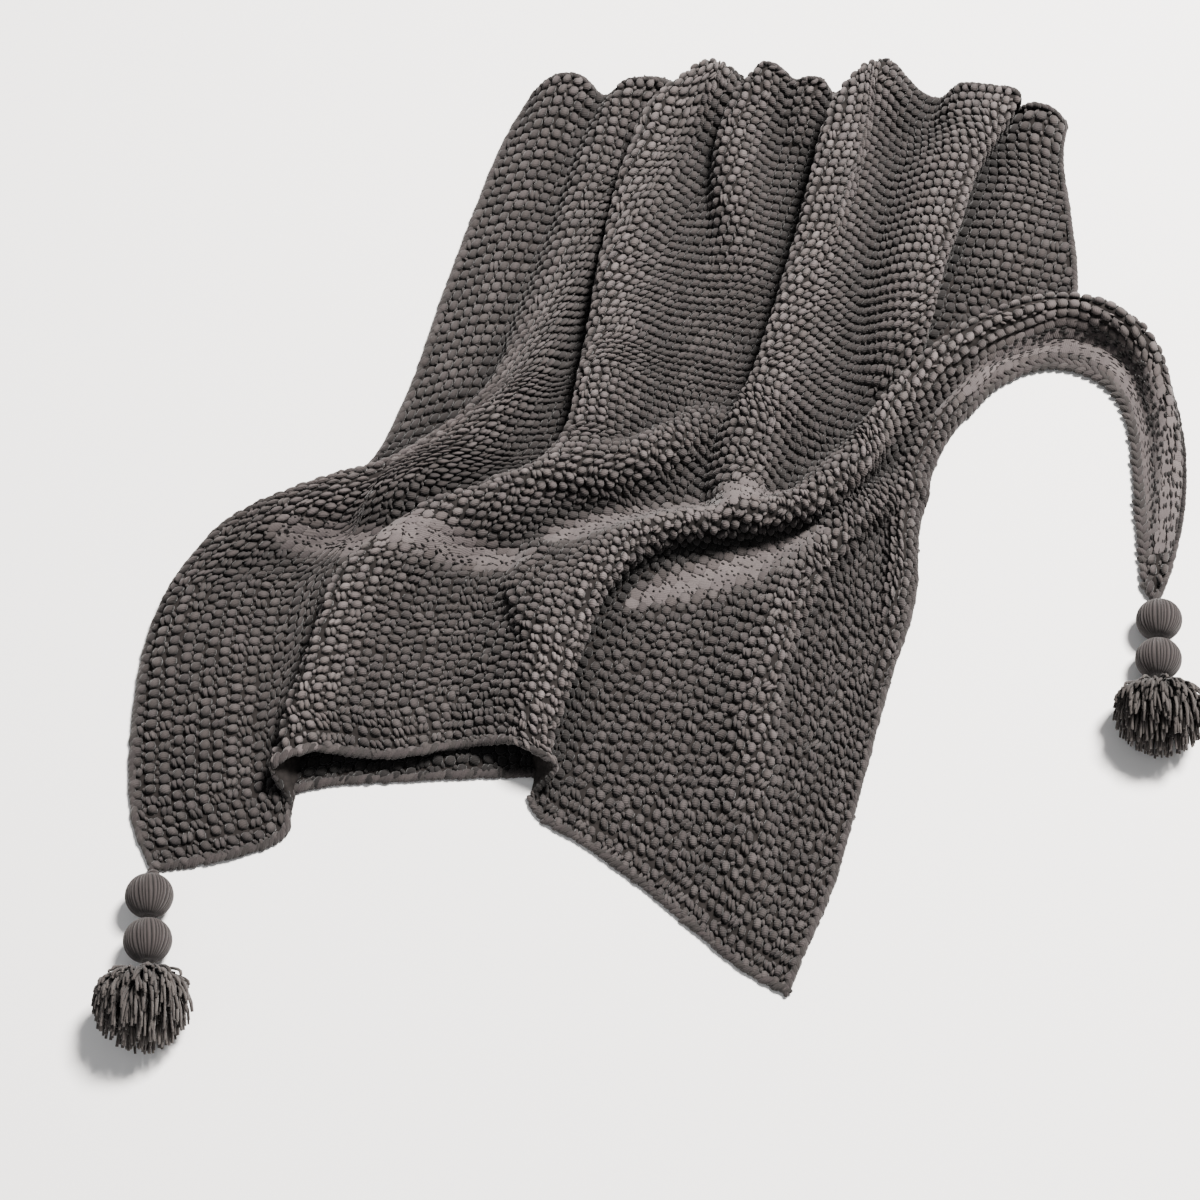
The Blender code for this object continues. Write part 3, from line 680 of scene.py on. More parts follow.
# Forms of yarn, by the radius and height of each ring: the knob of a purl stitch, a leg of a
# knit stitch, the nub of a turn that lies deeper, and a whole bead
KNOB = squared(ringed(8, [(0, -0.1), (0.98, -0.1), (0.97, 0.38), (0.76, 0.74), (0.40, 0.94),
                          (0, 1.0)]))
LEG = ringed(6, [(0, -0.2), (0.90, -0.2), (1.0, 0.30), (0.68, 0.80), (0, 1.0)])
NUB = ringed(6, [(0, -0.2), (0.95, -0.2), (0.86, 0.55), (0, 1.0)])
BEAD = ringed(8, [(0, -1.0), (0.60, -0.80), (0.97, -0.30), (0.97, 0.30), (0.60, 0.80), (0, 1.0)])


def turned_axes(x_axis, y_axis, angle):
    """Two axes of a surface turned by an angle in it, keeping the lengths of both."""
    wide = np.linalg.norm(x_axis, axis=-1)[:, None]
    tall = np.linalg.norm(y_axis, axis=-1)[:, None]
    x, y = unit(x_axis), unit(y_axis)
    c, s = np.cos(angle)[:, None], np.sin(angle)[:, None]
    return unit(x * c + y * s) * wide, unit(y * c - x * s) * tall


def calm_at(points):
    """How calm the knit is at each point, 0 to 1: a flat-topped bell across each band."""
    calm = np.zeros(len(points))
    for rows in CALM_BANDS.values():
        line = curve_through(rows, 40)
        square = ((points[:, None, :2] - line[None, :, :2]) ** 2).sum(-1) / line[:, 2] ** 2
        calm = np.maximum(calm, np.exp(-(square.min(axis=1) / CALM_WIDTH) ** CALM_POWER))
    return calm


def height_map(points, spread):
    """Mean height of the cloth around each place of a plan grid of MAP_STEP squares: heights
    and counts of the cloth's points are spread by the same bell and then divided."""
    low = points[:, :2].min(axis=0) - MAP_MARGIN
    cell = ((points[:, :2] - low) / MAP_STEP).astype(int)
    size = cell.max(axis=0) + int(MAP_MARGIN / MAP_STEP)
    total, count = np.zeros(size), np.zeros(size)
    np.add.at(total, (cell[:, 0], cell[:, 1]), points[:, 2])
    np.add.at(count, (cell[:, 0], cell[:, 1]), 1.0)
    reach = np.arange(-MAP_REACH, MAP_REACH + 1) * MAP_STEP
    bell = np.exp(-(reach / spread) ** 2 / 2)
    for axis in (0, 1):
        total = np.apply_along_axis(np.convolve, axis, total, bell, "same")
        count = np.apply_along_axis(np.convolve, axis, count, bell, "same")
    return low, total / np.maximum(count, 1e-6)


def shade_at(points):
    """How much light finds its way to each point, painted into the yarn's colour: painted shade
    where the cloth around stands higher, painted light on a crest, near by and further off."""
    shade = np.ones(len(points))
    for spread, table in SHADES.items():
        low, mean = HEIGHTS[spread]
        cell = (points[:, :2] - low) / MAP_STEP
        around = sample(mean[..., None], cell[:, 0], cell[:, 1])[:, 0]
        shade *= np.interp(around - points[:, 2], *table)
    return shade


def calm_shade(points, calm):
    """The same where the knit is calm, with painted light: no turn stands in the light of its
    neighbour there.
    """
    shade = shade_at(points)
    return shade + np.maximum(CALM_SHADE - shade, 0) * CALM_LIFT * calm ** 2


def yarn_forms(form, places, x_axis, y_axis, z_axis, tone, calm, strand_on_x):
    """Copies of a form in their own axes, with the values that the yarn's material reads:
    millimetres along and over the strand, the rise from foot to top, which paints shade at the
    foot (less deep where the knit is calm) and paints the shade and light of the cloth around
    (less where little light comes), and the tone."""
    points, quads, triangles = repeat(form, places, x_axis, y_axis, z_axis)
    many = len(form[0])
    local = np.tile(form[0], (len(places), 1))
    strand = local[:, 0] * np.repeat(np.linalg.norm(x_axis, axis=1), many)
    over = local[:, 1] * np.repeat(np.linalg.norm(y_axis, axis=1), many)
    if not strand_on_x:
        strand, over = over, strand
    shown = np.repeat(tone, many)
    even = np.repeat(calm, many) * 0.9
    # Painted shade and light: dark at the foot of each form, times the painted light of the cloth
    # around
    rise = (local[:, 2] * (1 - even) + even) * np.repeat(calm_shade(places, calm), many)
    values = np.column_stack([strand + TONE_SHIFT * shown, over, rise, shown])
    return off_floor(points), quads, triangles, values


def stitch_set(sheet, rows, columns, wales, wale, seed, streaks=False):
    """Every stitch of a sheet of seed stitch.  Proud purl stitches take turns with knit
    stitches set a little lower; either shows as one knob or as two legs side by side, and a
    nub fills many of the corners between stitches.  Every other wale is set back by part of a
    row.  Each stitch is a little out of place, tilted, turned and of its own size, and less so
    towards the far end.  Where the knit is calm, only dark slits show between the stitches:
    near-black nubs set proud of the stitches, painted shade where holes would be.
    wales numbers the wales, and wale is how many grid columns one stitch spans.  Streaks: the
    slits run along the wales and are widest at the outer side."""
    rng = np.random.default_rng(seed)
    count = len(rows)
    wale = np.full(count, 1.0) * wale
    share = rows / sheet["points"].shape[0]
    loose = np.interp(share, *LOOSE)
    purl = (np.floor(rows / FINER).astype(int) + wales) % 2 == 0
    one = rng.random(count) < np.interp(share, *ONE_KNOB)
    set_back = np.interp(share, *SET_BACK)
    rows = rows + (rng.normal(0, 0.05, count) * loose + set_back * (wales % 2 - 0.5)) * FINER
    columns = columns + rng.normal(0, 0.04, count) * loose * wale
    place = sample(sheet["points"], rows, columns)
    normal = unit(sample(sheet["normal"], rows, columns))
    across = sample(sheet["across"], rows, columns) * wale[:, None]
    along = sample(sheet["along"], rows, columns) * FINER
    calm = calm_at(place)
    place = place + normal * BASE_TOP
    full = np.interp(share, *HALF_WIDTH)
    close = calm ** 2
    wide = (full + (CALM_HALF_WIDTH - full) * close + rng.normal(0, 0.025, count) * loose)[:, None]
    tall = (HALF_LENGTH + CALM_LENGTH_MORE * close + rng.normal(0, 0.030, count) * loose)[:, None]
    turn = rng.normal(0, 0.22, count) * loose
    height = KNOB_HEIGHT * (1 - CALM_FLATTENING * calm ** 0.8) * np.where(purl, 1.0, 0.90)
    height = height * (1 + rng.normal(0, 0.07, count) * loose)
    tilt = unit(across) * rng.normal(0, 1.1, (count, 1)) + unit(along) * rng.normal(0, 1.1, (count, 1))
    z_axis = normal * height[:, None] + tilt * (loose * (1 - calm))[:, None]
    tone = rng.random(count)
    # Painted light: calm knit takes a lighter tone
    tone += (CALM_PAINTED_LIGHT_TONE - tone) * CALM_LIFT * close
    x, y = turned_axes(across * wide, along * tall, turn)
    one |= calm > 0.5
    sets = [yarn_forms(KNOB, place[one], x[one], y[one], z_axis[one], tone[one], calm[one], True)]
    pair = ~one
    lean = rng.choice([-0.30, 0.30], count)
    for side in (-1, 1):
        low = (0.95 + 0.05 * side * np.sign(lean))[:, None]
        x, y = turned_axes(across * wide * 0.62, along * tall * 1.06, turn * 0.5 + lean)
        beside = place + across * 0.20 * side
        sets.append(yarn_forms(LEG, beside[pair], x[pair], y[pair], (z_axis * low)[pair],
                               tone[pair], calm[pair], False))
    at_row = rows + rng.uniform(0.30, 0.60, count) * FINER
    at_column = columns + rng.uniform(0.44, 0.56, count) * wale
    corner = sample(sheet["points"], at_row, at_column)
    normal = unit(sample(sheet["normal"], at_row, at_column))
    corner = corner + normal * BASE_TOP
    filled = (rng.random(count) < 0.8) & (calm < 0.5)
    x, y = turned_axes(across * rng.uniform(0.15, 0.21, (count, 1)),
                       along * rng.uniform(0.24, 0.36, (count, 1)), rng.normal(0, 0.4, count))
    low = height[:, None] * rng.uniform(0.50, 0.80, (count, 1))
    sets.append(yarn_forms(NUB, corner[filled], x[filled], y[filled], (normal * low)[filled],
                           tone[filled], calm[filled], False))
    # Dark slits: painted shade, near-black nubs set proud of the stitches where holes between them
    # would show dark
    for part in (0.0, 0.33, 0.67):
        slit = (calm > 0.40) & (rng.random(count) < 0.9)
        at = (rows + rng.uniform(0.10, 0.80, count) * FINER,
              columns + (0.5 + part + rng.uniform(-0.10, 0.10, count)) * wale)
        place = sample(sheet["points"], *at)
        normal = unit(sample(sheet["normal"], *at))
        if streaks:
            outer = np.clip(1.25 - columns / sheet["points"].shape[1], 0.25, 1.0)[:, None]
            x, y = turned_axes(across * 0.22 * outer, along * 0.36, rng.normal(0.15, 0.1, count))
        else:
            x, y = turned_axes(across * rng.uniform(0.14, 0.27, (count, 1)), along * 0.12,
                               rng.normal(-0.35, 0.25, count))
        top = normal * (height + SLIT_PROUD)[:, None]
        made = yarn_forms(NUB, (place + normal * BASE_TOP)[slit], x[slit], y[slit], top[slit],
                          tone[slit], calm[slit], False)
        made[3][:, 2] = SLIT_PAINTED_SHADE
        sets.append(made)
    return gather(sets)


def body_stitches():
    """Rows, columns, wale numbers and spans of the stitches of the body's main knit.  There
    are more wales to a row towards the far end, and they narrow from the left selvedge on."""
    rows, columns, wales, spans = [], [], [], []
    for row in range(ROWS_TO_SLIT + BODY_ROWS_PAST):
        count = int(round(np.interp(row, *WALES_AT_ROWS)))
        span = np.linspace(*WALE_SPREAD, count)
        span *= BODY_WALES * FINER / span.sum()
        rows.append(np.full(count, border_spacing(row) * FINER))
        columns.append(np.cumsum(span) - span / 2)
        wales.append(np.arange(count))
        spans.append(span)
    return (np.concatenate(part) for part in (rows, columns, wales, spans))


def block_of_knit(rows, wales):
    """Row and wale number of each stitch of a plain block of knit."""
    row, wale = np.meshgrid(np.arange(rows), np.arange(wales), indexing="ij")
    return row.reshape(-1), wale.reshape(-1)


def corner_stitches(inside):
    """Rows, columns and wale numbers of the stitches of the knit right of the slit's wale."""
    row, wale = block_of_knit(BODY_ROWS_PAST, CORNER_STEPS)
    kept = inside[row * FINER + 1, wale * FINER + 1]
    return (row[kept] + 0.5) * FINER, (wale[kept] + 0.5) * FINER, wale[kept]


def border_spacing(row):
    """Where a row's middle lies, in rows: the border rows are closed up towards the hem."""
    if row < BORDER_ROWS:
        return BORDER_START + BORDER_ROW * row
    return row + 0.5 + BORDER_GAP * math.exp(-(row - BORDER_ROWS) / BORDER_FADE)


def strip_stitches(sheet):
    """Rows, columns and wale numbers of the strip's stitches, which are counted off from the
    chain edge at an even width, so that a wale ends where the strip gets narrow."""
    rows, columns, wales = [], [], []
    last = sheet["points"].shape[1] - 1
    for row in range(ROWS_TO_SLIT + STRIP_ROWS_PAST):
        place = border_spacing(row) * FINER
        across = sample(sheet["points"], np.full(last + 1, place), np.arange(last + 1.0))
        width = np.linalg.norm(np.diff(across, axis=0), axis=1).sum()
        count = max(int(round(width / STRIP_WALE)), 1)
        k = np.arange(count) + 0.5
        columns.append(last * (1 - k / count))
        rows.append(np.full(count, place))
        wales.append(np.arange(count))
    return np.concatenate(rows), np.concatenate(columns), np.concatenate(wales)


def strip_wale_spans(sheet, rows, columns):
    """How many grid columns a stitch of the strip spans at each place."""
    step = np.linalg.norm(sample(sheet["across"], rows, columns), axis=1)
    return np.clip(STRIP_WALE / np.maximum(step, 1e-6), 0.3, 6.0)


def edge_line(sheet, rows, columns, outward):
    """Points, normals and outward directions along one edge of a sheet."""
    along, sign = outward
    return (sample(sheet["points"], rows, columns), unit(sample(sheet["normal"], rows, columns)),
            unit(sample(sheet[along], rows, columns)) * sign)


def spaced(line, pitch):
    """The same edge line at points a pitch apart, with the direction along it."""
    points, normals, outward = line
    step = np.linalg.norm(np.diff(points, axis=0), axis=1)
    along = np.concatenate([[0.0], np.cumsum(step)])
    count = max(int(round(along[-1] / pitch)), 2)
    even = (np.arange(count) + 0.5) * along[-1] / count
    pick = [np.stack([np.interp(even, along, part) for part in field.T], axis=1)
            for field in (points, normals, outward)]
    ahead = unit(np.gradient(pick[0], axis=0))
    return pick[0], unit(pick[1]), unit(pick[2]), ahead


def bead_set(places, long_axis, wide_axis, high_axis, rng):
    """Whole beads of yarn in their own axes, pressed flat where they would sink; their rise paints
    shade under each bead, darkest at the bottom.
    """
    points, quads, triangles = repeat(BEAD, places, wide_axis, high_axis, long_axis)
    many = len(BEAD[0])
    local = np.tile(BEAD[0], (len(places), 1))
    length = np.repeat(np.linalg.norm(long_axis, axis=1), many)
    width = np.repeat(np.linalg.norm(wide_axis, axis=1), many)
    tone = np.repeat(rng.random(len(places)), many)
    values = np.column_stack([local[:, 2] * length + TONE_SHIFT * tone, local[:, 0] * width,
                              0.45 + 0.55 * local[:, 1], tone])
    return off_floor(points), quads, triangles, values


def rolled_edge(line, pitch, slant, rng):
    """An edge of slanted turns of yarn: beads whose long axis leans inwards and up from the
    line of the edge."""
    points, normal, outward, ahead = spaced(line, pitch)
    lean = slant + rng.normal(0, 0.10, len(points))
    grow = (1 + rng.normal(0, 0.08, len(points)))[:, None]
    c, s = np.cos(lean)[:, None], np.sin(lean)[:, None]
    inward = unit(normal * 0.55 - outward * 0.83)
    long_axis = unit(ahead * c + inward * s)
    wide_axis = unit(inward * c - ahead * s)
    high_axis = np.cross(long_axis, wide_axis)
    high_axis *= np.sign((high_axis * normal).sum(-1))[:, None]
    places = points + normal * EDGE_LIFT - outward * EDGE_INSET
    return bead_set(places, long_axis * ROPE_LENGTH * grow, wide_axis * ROPE_RADIUS * grow,
                    high_axis * ROPE_RADIUS * grow, rng)


def chain_edge(line, pitch, rng):
    """A chain along an edge: two rows of beads, one leaning out and one leaning in, so that
    they meet in a row of arrowheads."""
    points, normal, outward, ahead = spaced(line, pitch)
    sets = []
    for row, (inset, lean) in enumerate(CHAIN_ROWS):
        angle = lean + rng.normal(0, 0.07, len(points))
        c, s = np.cos(angle)[:, None], np.sin(angle)[:, None]
        long_axis = unit(ahead * c - outward * s) * CHAIN_LENGTH
        wide_axis = unit(outward * c + ahead * s) * CHAIN_RADIUS
        places = points + normal * CHAIN_LIFT - outward * inset + ahead * pitch * 0.5 * row
        sets.append(bead_set(places, long_axis, wide_axis, normal * CHAIN_RADIUS * 1.05, rng))
    return gather(sets)


# ---- Base of the cloth ----

def grid_quads(rows, columns, first=0):
    """Quads of a grid of points numbered row by row, facing up."""
    number = first + np.arange(rows * columns).reshape(rows, columns)
    return np.stack([number[:-1, :-1], number[:-1, 1:], number[1:, 1:], number[1:, :-1]],
                    axis=-1).reshape(-1, 4)


def average_normals(points, faces):
    """Outward direction at each point, from the faces around it weighted by their area."""
    corner = points[faces]
    across = np.cross(corner[:, 2] - corner[:, 0], corner[:, 3] - corner[:, 1])
    normals = np.zeros_like(points)
    for part in range(4):
        np.add.at(normals, faces[:, part], across)
    return unit(normals)


def closed_sheet(points, faces, rise, thickness):
    """Points and quads of a closed sheet: an underside moved out by rise, a top moved out
    by the thickness more, and a wall round every free edge."""
    normals = average_normals(points, faces)
    count = len(points)
    around = np.stack([faces, np.roll(faces, -1, axis=1)], axis=-1).reshape(-1, 2)
    key = around[:, 0] * count + around[:, 1]
    back = around[:, 1] * count + around[:, 0]
    free = around[~np.isin(key, back)]
    walls = np.column_stack([free[:, 0], free[:, 1], free[:, 1] + count, free[:, 0] + count])
    both = np.concatenate([points + normals * rise, points + normals * (rise + thickness)])
    return off_floor(both), np.concatenate([faces[:, ::-1], faces + count, walls])


def cloth_base(body, strip, material):
    """The dense inner side of the knit, as one closed thin sheet that carries the stitches."""
    rows, columns = body.shape[:2]
    wide = strip.shape[1]
    points = np.concatenate([body.reshape(-1, 3), strip.reshape(-1, 3)])
    number = np.arange(len(points))
    joined = np.arange(ROWS_TO_SLIT * FINER + 1)
    number[rows * columns + joined * wide] = joined * columns + columns - 1
    faces = np.concatenate([grid_quads(rows, columns),
                            grid_quads(strip.shape[0], wide, rows * columns)])
    used, faces = np.unique(number[faces], return_inverse=True)
    both, quads = closed_sheet(points[used], faces.reshape(-1, 4), BASE_RISE,
                               BASE_TOP - BASE_RISE)
    return new_piece("cloth_base", both, [quads], material, uv=both[:, :2] / 10)


def slab(points):
    """Points, quads, triangles and values of a small flat closed sheet on the floor."""
    rows, columns = points.shape[:2]
    both, quads = closed_sheet(points.reshape(-1, 3), grid_quads(rows, columns), BASE_RISE,
                               BASE_TOP - BASE_RISE)
    return both, quads, np.zeros((0, 3), int), np.column_stack([both[:, :2], both[:, :2] * 0])


# ---- Tassels ----

def tassel_axes(corner, towards):
    """Start, direction along, sideways and up of a tassel that lies on the floor."""
    ahead = unit(np.array([towards[0], towards[1], 0.0]))
    return (np.array([corner[0], corner[1], 0.0]), ahead,
            np.array([-ahead[1], ahead[0], 0.0]), np.array([0, 0, 1.0]))


def wound_piece(name, axes, place, height, along, radius, turn, material, rise):
    """A closed form about the tassel's axis from arrays of distance along and radius, both
    over steps by turns; the first and last steps close in a point."""
    start, ahead, aside, up = axes
    centre = start + ahead * place + up * height
    across = np.cos(turn)[..., None] * up + np.sin(turn)[..., None] * aside
    points = centre + along[..., None] * ahead + radius[..., None] * across
    steps, turns = radius.shape
    k = np.arange(turns)
    after = (k + 1) % turns
    quads = [np.column_stack([row * turns + k, (row + 1) * turns + k,
                              (row + 1) * turns + after, row * turns + after])
             for row in range(1, steps - 2)]
    near, far = steps * turns, steps * turns + 1
    points = off_floor(np.concatenate([points.reshape(-1, 3), [centre + ahead * along[0, 0]],
                                       [centre + ahead * along[-1, 0]]]))
    first, last = turns, (steps - 2) * turns
    triangles = np.concatenate([np.column_stack([np.full(turns, near), first + k, first + after]),
                                np.column_stack([np.full(turns, far), last + after, last + k])])
    used, renumbered = np.unique(np.concatenate([np.concatenate(quads).reshape(-1),
                                                 triangles.reshape(-1)]), return_inverse=True)
    split = 4 * sum(len(part) for part in quads)
    # The point at each end gets painted shade
    rise = np.append(rise.reshape(-1), [0.2, 0.2])[used]
    uv = np.column_stack([np.append(np.repeat(along[:, :1], turns, axis=1).reshape(-1), [0, 0]),
                          np.append((turn * radius).reshape(-1), [0, 0])])[used]
    return new_piece(name, points[used], [renumbered[:split].reshape(-1, 4),
                                          renumbered[split:].reshape(-1, 3)],
                     material, uv=uv, rise=rise, tone=np.full(len(used), 0.5))


def wound_ball(name, axes, place, material):
    """A ball of thread wound from pole to pole: an ellipse of revolution that dips at the
    poles, with a rounded rib for each bundle of thread, fading out towards the poles."""
    s = np.linspace(0, np.pi, 26)[:, None]
    turn = np.linspace(0, 2 * np.pi, BALL_RIBS * 6, endpoint=False)[None, :] + 0 * s
    drift = 0.03 * np.sin(3 * turn + 1.3) * np.sin(2 * s) + 0.035 * np.sin(9 * turn + 0.4)
    rib = np.abs(np.sin(BALL_RIBS / 2 * (turn + drift))) ** 0.55
    dip = np.exp(-(np.sin(s) / 0.30) ** 2)
    along = -BALL_HALF_LENGTH * np.cos(s) * (1 - 0.16 * dip) + 0 * turn
    radius = BALL_RADIUS * np.sin(s) * (1 - RIB_DEPTH + RIB_DEPTH * rib)
    # Painted shade: the rise darkens the grooves between the ribs
    return wound_piece(name, axes, place, BALL_RADIUS - BALL_SINK, along, radius, turn,
                       material, -0.3 + 1.3 * rib + 0 * s)


def wound_tie(name, axes, place, height, length, radius, turns_of_yarn, material):
    """A few turns of yarn round a cord: each turn is a rounded ridge, the ends close in."""
    t = np.linspace(0, 1, 8 * turns_of_yarn + 3)[:, None]
    turn = np.linspace(0, 2 * np.pi, 28, endpoint=False)[None, :] + 0 * t
    ridge = np.abs(np.sin(np.pi * turns_of_yarn * t + turn * 0.5))
    full = np.clip(np.sin(np.pi * t), 0, 1) ** 0.35
    # Painted shade: the rise darkens the yarn between the turns
    return wound_piece(name, axes, place, height, (t - 0.5) * length + 0 * turn,
                       radius * full * (0.84 + 0.16 * ridge), turn, material,
                       0.3 + 0.7 * ridge)


def pompom(name, axes, seed, material):
    """A cut pompom, fanned out from its tie: strands leave the neck sideways and bend over
    to run ahead, like a mop, and their tips lie in a few shells inside the round outline."""
    rng = np.random.default_rng(seed)
    start, ahead, aside, up = axes
    neck = start + ahead * NECK_PLACE + up * (BALL_RADIUS - BALL_SINK)
    centre = start + ahead * POMPOM_PLACE + up * POMPOM_HEIGHT
    k = np.arange(int(STRANDS * WAYS_PER_STRAND))
    z = 1 - WAYS_REACH * (k + 0.5) / len(k)
    angle = k * np.pi * (3 - math.sqrt(5))
    ring = np.sqrt(1 - z * z)
    ways = (z[:, None] * ahead + (ring * np.cos(angle))[:, None] * aside
            + (ring * np.sin(angle))[:, None] * up)
    ways = unit(ways + rng.normal(0, WAY_JITTER, ways.shape))[:STRANDS]
    count = len(ways)
    shell = 1 - SHORTENING * rng.random(count) ** 1.6
    tip = centre + ways * (POMPOM_RADIUS * shell)[:, None]
    tip[:, 2] = np.clip(tip[:, 2], *POMPOM_TIPS)
    root = neck + rng.normal(0, ROOT_SPREAD, (count, 3))
    reach = ((tip - root) @ ahead)[:, None, None] * ahead
    out = (tip - root)[:, None] - reach
    t = np.linspace(0, 1, STRAND_STEPS)[None, :, None]
    path = root[:, None] + out * np.sin(np.pi / 2 * t) ** 0.9 + reach * (
        0.35 * t + 0.65 * (1 - np.cos(np.pi / 2 * t)))
    bend = unit(np.cross(ways, rng.normal(0, 1, ways.shape)))[:, None]
    bow = rng.normal(0, STRAND_BOW, count)[:, None, None] * np.sin(np.pi * t)
    wave = rng.uniform(*STRAND_WAVE, count)[:, None, None] * np.sin(
        11.0 * t + rng.uniform(0, 6.28, count)[:, None, None]) * t
    path = path + bend * (bow + wave)
    path[..., 2] = np.maximum(path[..., 2], STRAND_RADIUS + 0.3)
    direction = unit(np.gradient(path, axis=1))
    side = unit(np.cross(direction, up + 0.37 * aside + 0.2 * ahead))
    over = np.cross(direction, side)
    taper = np.array(STRAND_TAPER)[None, :, None]
    thick = STRAND_RADIUS * rng.uniform(0.75, 1.2, count)[:, None, None] * taper
    corners = [path + side * thick, path + over * thick, path - side * thick, path - over * thick]
    points = off_floor(np.stack(corners, axis=2).reshape(-1, 3))
    each = STRAND_STEPS * 4
    first = (np.arange(count) * each)[:, None, None]
    step = np.arange(STRAND_STEPS - 1)[:, None] * 4
    c = np.arange(4)[None, :]
    n = (c + 1) % 4
    sides = np.stack([step + c, step + n, step + 4 + n, step + 4 + c], axis=-1).reshape(-1, 4)
    last = each - 4
    ends = np.array([[0, 3, 2, 1], [last, last + 1, last + 2, last + 3]])
    quads = (np.concatenate([sides, ends])[None] + first).reshape(-1, 4)
    # Painted shade: the rise darkens each strand towards its root and darkens the short inner strands
    # most
    fade = np.linspace(0, 1, STRAND_STEPS)[None, :] * (0.25 + 0.75 * (shell[:, None] - 0.5) * 2)
    rise = np.repeat((fade * 1.1 - 0.2).reshape(-1), 4)
    tone = np.repeat(rng.random(count), each)
    length = np.repeat(np.tile(np.linspace(0, 60, STRAND_STEPS), count), 4)
    uv = np.column_stack([length + 60 * tone, np.tile(np.array([0, 1.5, 3, 4.5]), len(rise) // 4)])
    return new_piece(name, points, [quads], material, uv=uv, rise=rise, tone=tone)


# ---- Materials ----

def linear(code):
    """Linear colour of an sRGB hex value."""
    parts = [int(code[k:k + 2], 16) / 255 for k in (0, 2, 4)]
    return tuple(p / 12.92 if p <= 0.04045 else ((p + 0.055) / 1.055) ** 2.4 for p in parts) + (1,)


def add_node(tree, kind, inputs=(), **settings):
    """Add a node: settings are its properties, and inputs its sockets by name or number,
    each with a value or with the output that feeds it."""
    new = tree.nodes.new(kind)
    for key, value in settings.items():
        setattr(new, key, value)
    for key, value in dict(inputs).items():
        if isinstance(value, bpy.types.NodeSocket):
            tree.links.new(value, new.inputs[key])
        else:
            new.inputs[key].default_value = value
    return new


def new_material(name, look):
    """A material with its node tree and its shader, whose inputs are set from the look."""
    material = bpy.data.materials.new(name)
    material.use_nodes = True
    shader = material.node_tree.nodes["Principled BSDF"]
    for key, value in look.items():
        shader.inputs[key].default_value = value
    return material, material.node_tree, shader


def colour_ramp(tree, share, colours):
    """Colours an even way apart, read at a share from 0 to 1."""
    ramp = add_node(tree, "ShaderNodeValToRGB", {0: share})
    stops = ramp.color_ramp.elements
    stops[0].color = colours[0]
    stops[1].color = colours[-1]
    for number, colour in enumerate(colours[1:-1], 1):
        stops.new(number / (len(colours) - 1)).color = colour
    return ramp.outputs["Color"]


def carried_over(tree, value, source, target):
    """A value carried over evenly from one range to another and held at its ends."""
    limits = {"From Min": source[0], "From Max": source[1],
              "To Min": target[0], "To Max": target[1]}
    return add_node(tree, "ShaderNodeMapRange", {"Value": value, **limits}).outputs[0]


def combined(tree, operation, first, second):
    """Two values taken together by one operation."""
    return add_node(tree, "ShaderNodeMath", {0: first, 1: second}, operation=operation).outputs[0]


def spun_yarn(name, tones, ply_mm, sheen, foot):
    """Soft-spun wool and acrylic yarn, dyed charcoal: matt, with a faint halo of loose fibre,
    no two turns quite the same tone, and plies that twist round each other at ply_mm.  Light and
    shade are painted into its colour from the rise: painted shade down to foot at the feet of the
    turns and in hollows, and painted light up to twice as bright on crests."""
    material, tree, shader = new_material(name, {
        "Roughness": 0.88, "Specular IOR Level": 0.25, "Sheen Weight": sheen,
        "Sheen Roughness": 0.45})
    tone = add_node(tree, "ShaderNodeAttribute", attribute_name="tone").outputs["Fac"]
    rise = add_node(tree, "ShaderNodeAttribute", attribute_name="rise").outputs["Fac"]
    space = add_node(tree, "ShaderNodeTexCoord")
    heather = add_node(tree, "ShaderNodeTexNoise",
                       {"Vector": space.outputs["Object"], "Scale": 1 / 0.030, "Detail": 3.0})
    fibre = add_node(tree, "ShaderNodeTexNoise",
                     {"Vector": space.outputs["Object"], "Scale": 1 / 0.0016, "Detail": 4.0})
    shade = colour_ramp(tree, tone, [linear(code) for code in tones])
    cloud = carried_over(tree, heather.outputs["Fac"], (0.3, 0.7), (0.88, 1.10))
    # Painted shade and light: the rise darkens the yarn to foot at the feet of the turns, in hollows
    # and in slits, and lightens it up to twice over on crests and calm knit
    painted_shading = carried_over(tree, rise, (0.1, 2.0), (foot, 2.0))
    speck = carried_over(tree, fibre.outputs["Fac"], (0.3, 0.7), (0.82, 1.12))
    scale = combined(tree, "MULTIPLY", combined(tree, "MULTIPLY", painted_shading, speck), cloud)
    colour = add_node(tree, "ShaderNodeVectorMath", {0: shade, "Scale": scale}, operation="SCALE")
    tree.links.new(colour.outputs[0], shader.inputs["Base Color"])
    strand = add_node(tree, "ShaderNodeMapping",
                      {"Vector": space.outputs["UV"], "Rotation": (0, 0, math.radians(62))})
    plies = add_node(tree, "ShaderNodeTexWave",
                     {"Vector": strand.outputs[0], "Scale": math.pi / 10 / ply_mm,
                      "Distortion": 1.2, "Detail": 1.0}, wave_type="BANDS", bands_direction="X")
    relief = combined(tree, "ADD", plies.outputs["Fac"], fibre.outputs["Fac"])
    bump = add_node(tree, "ShaderNodeBump",
                    {"Height": relief, "Strength": 0.5, "Distance": 0.0007})
    tree.links.new(bump.outputs[0], shader.inputs["Normal"])
    return material


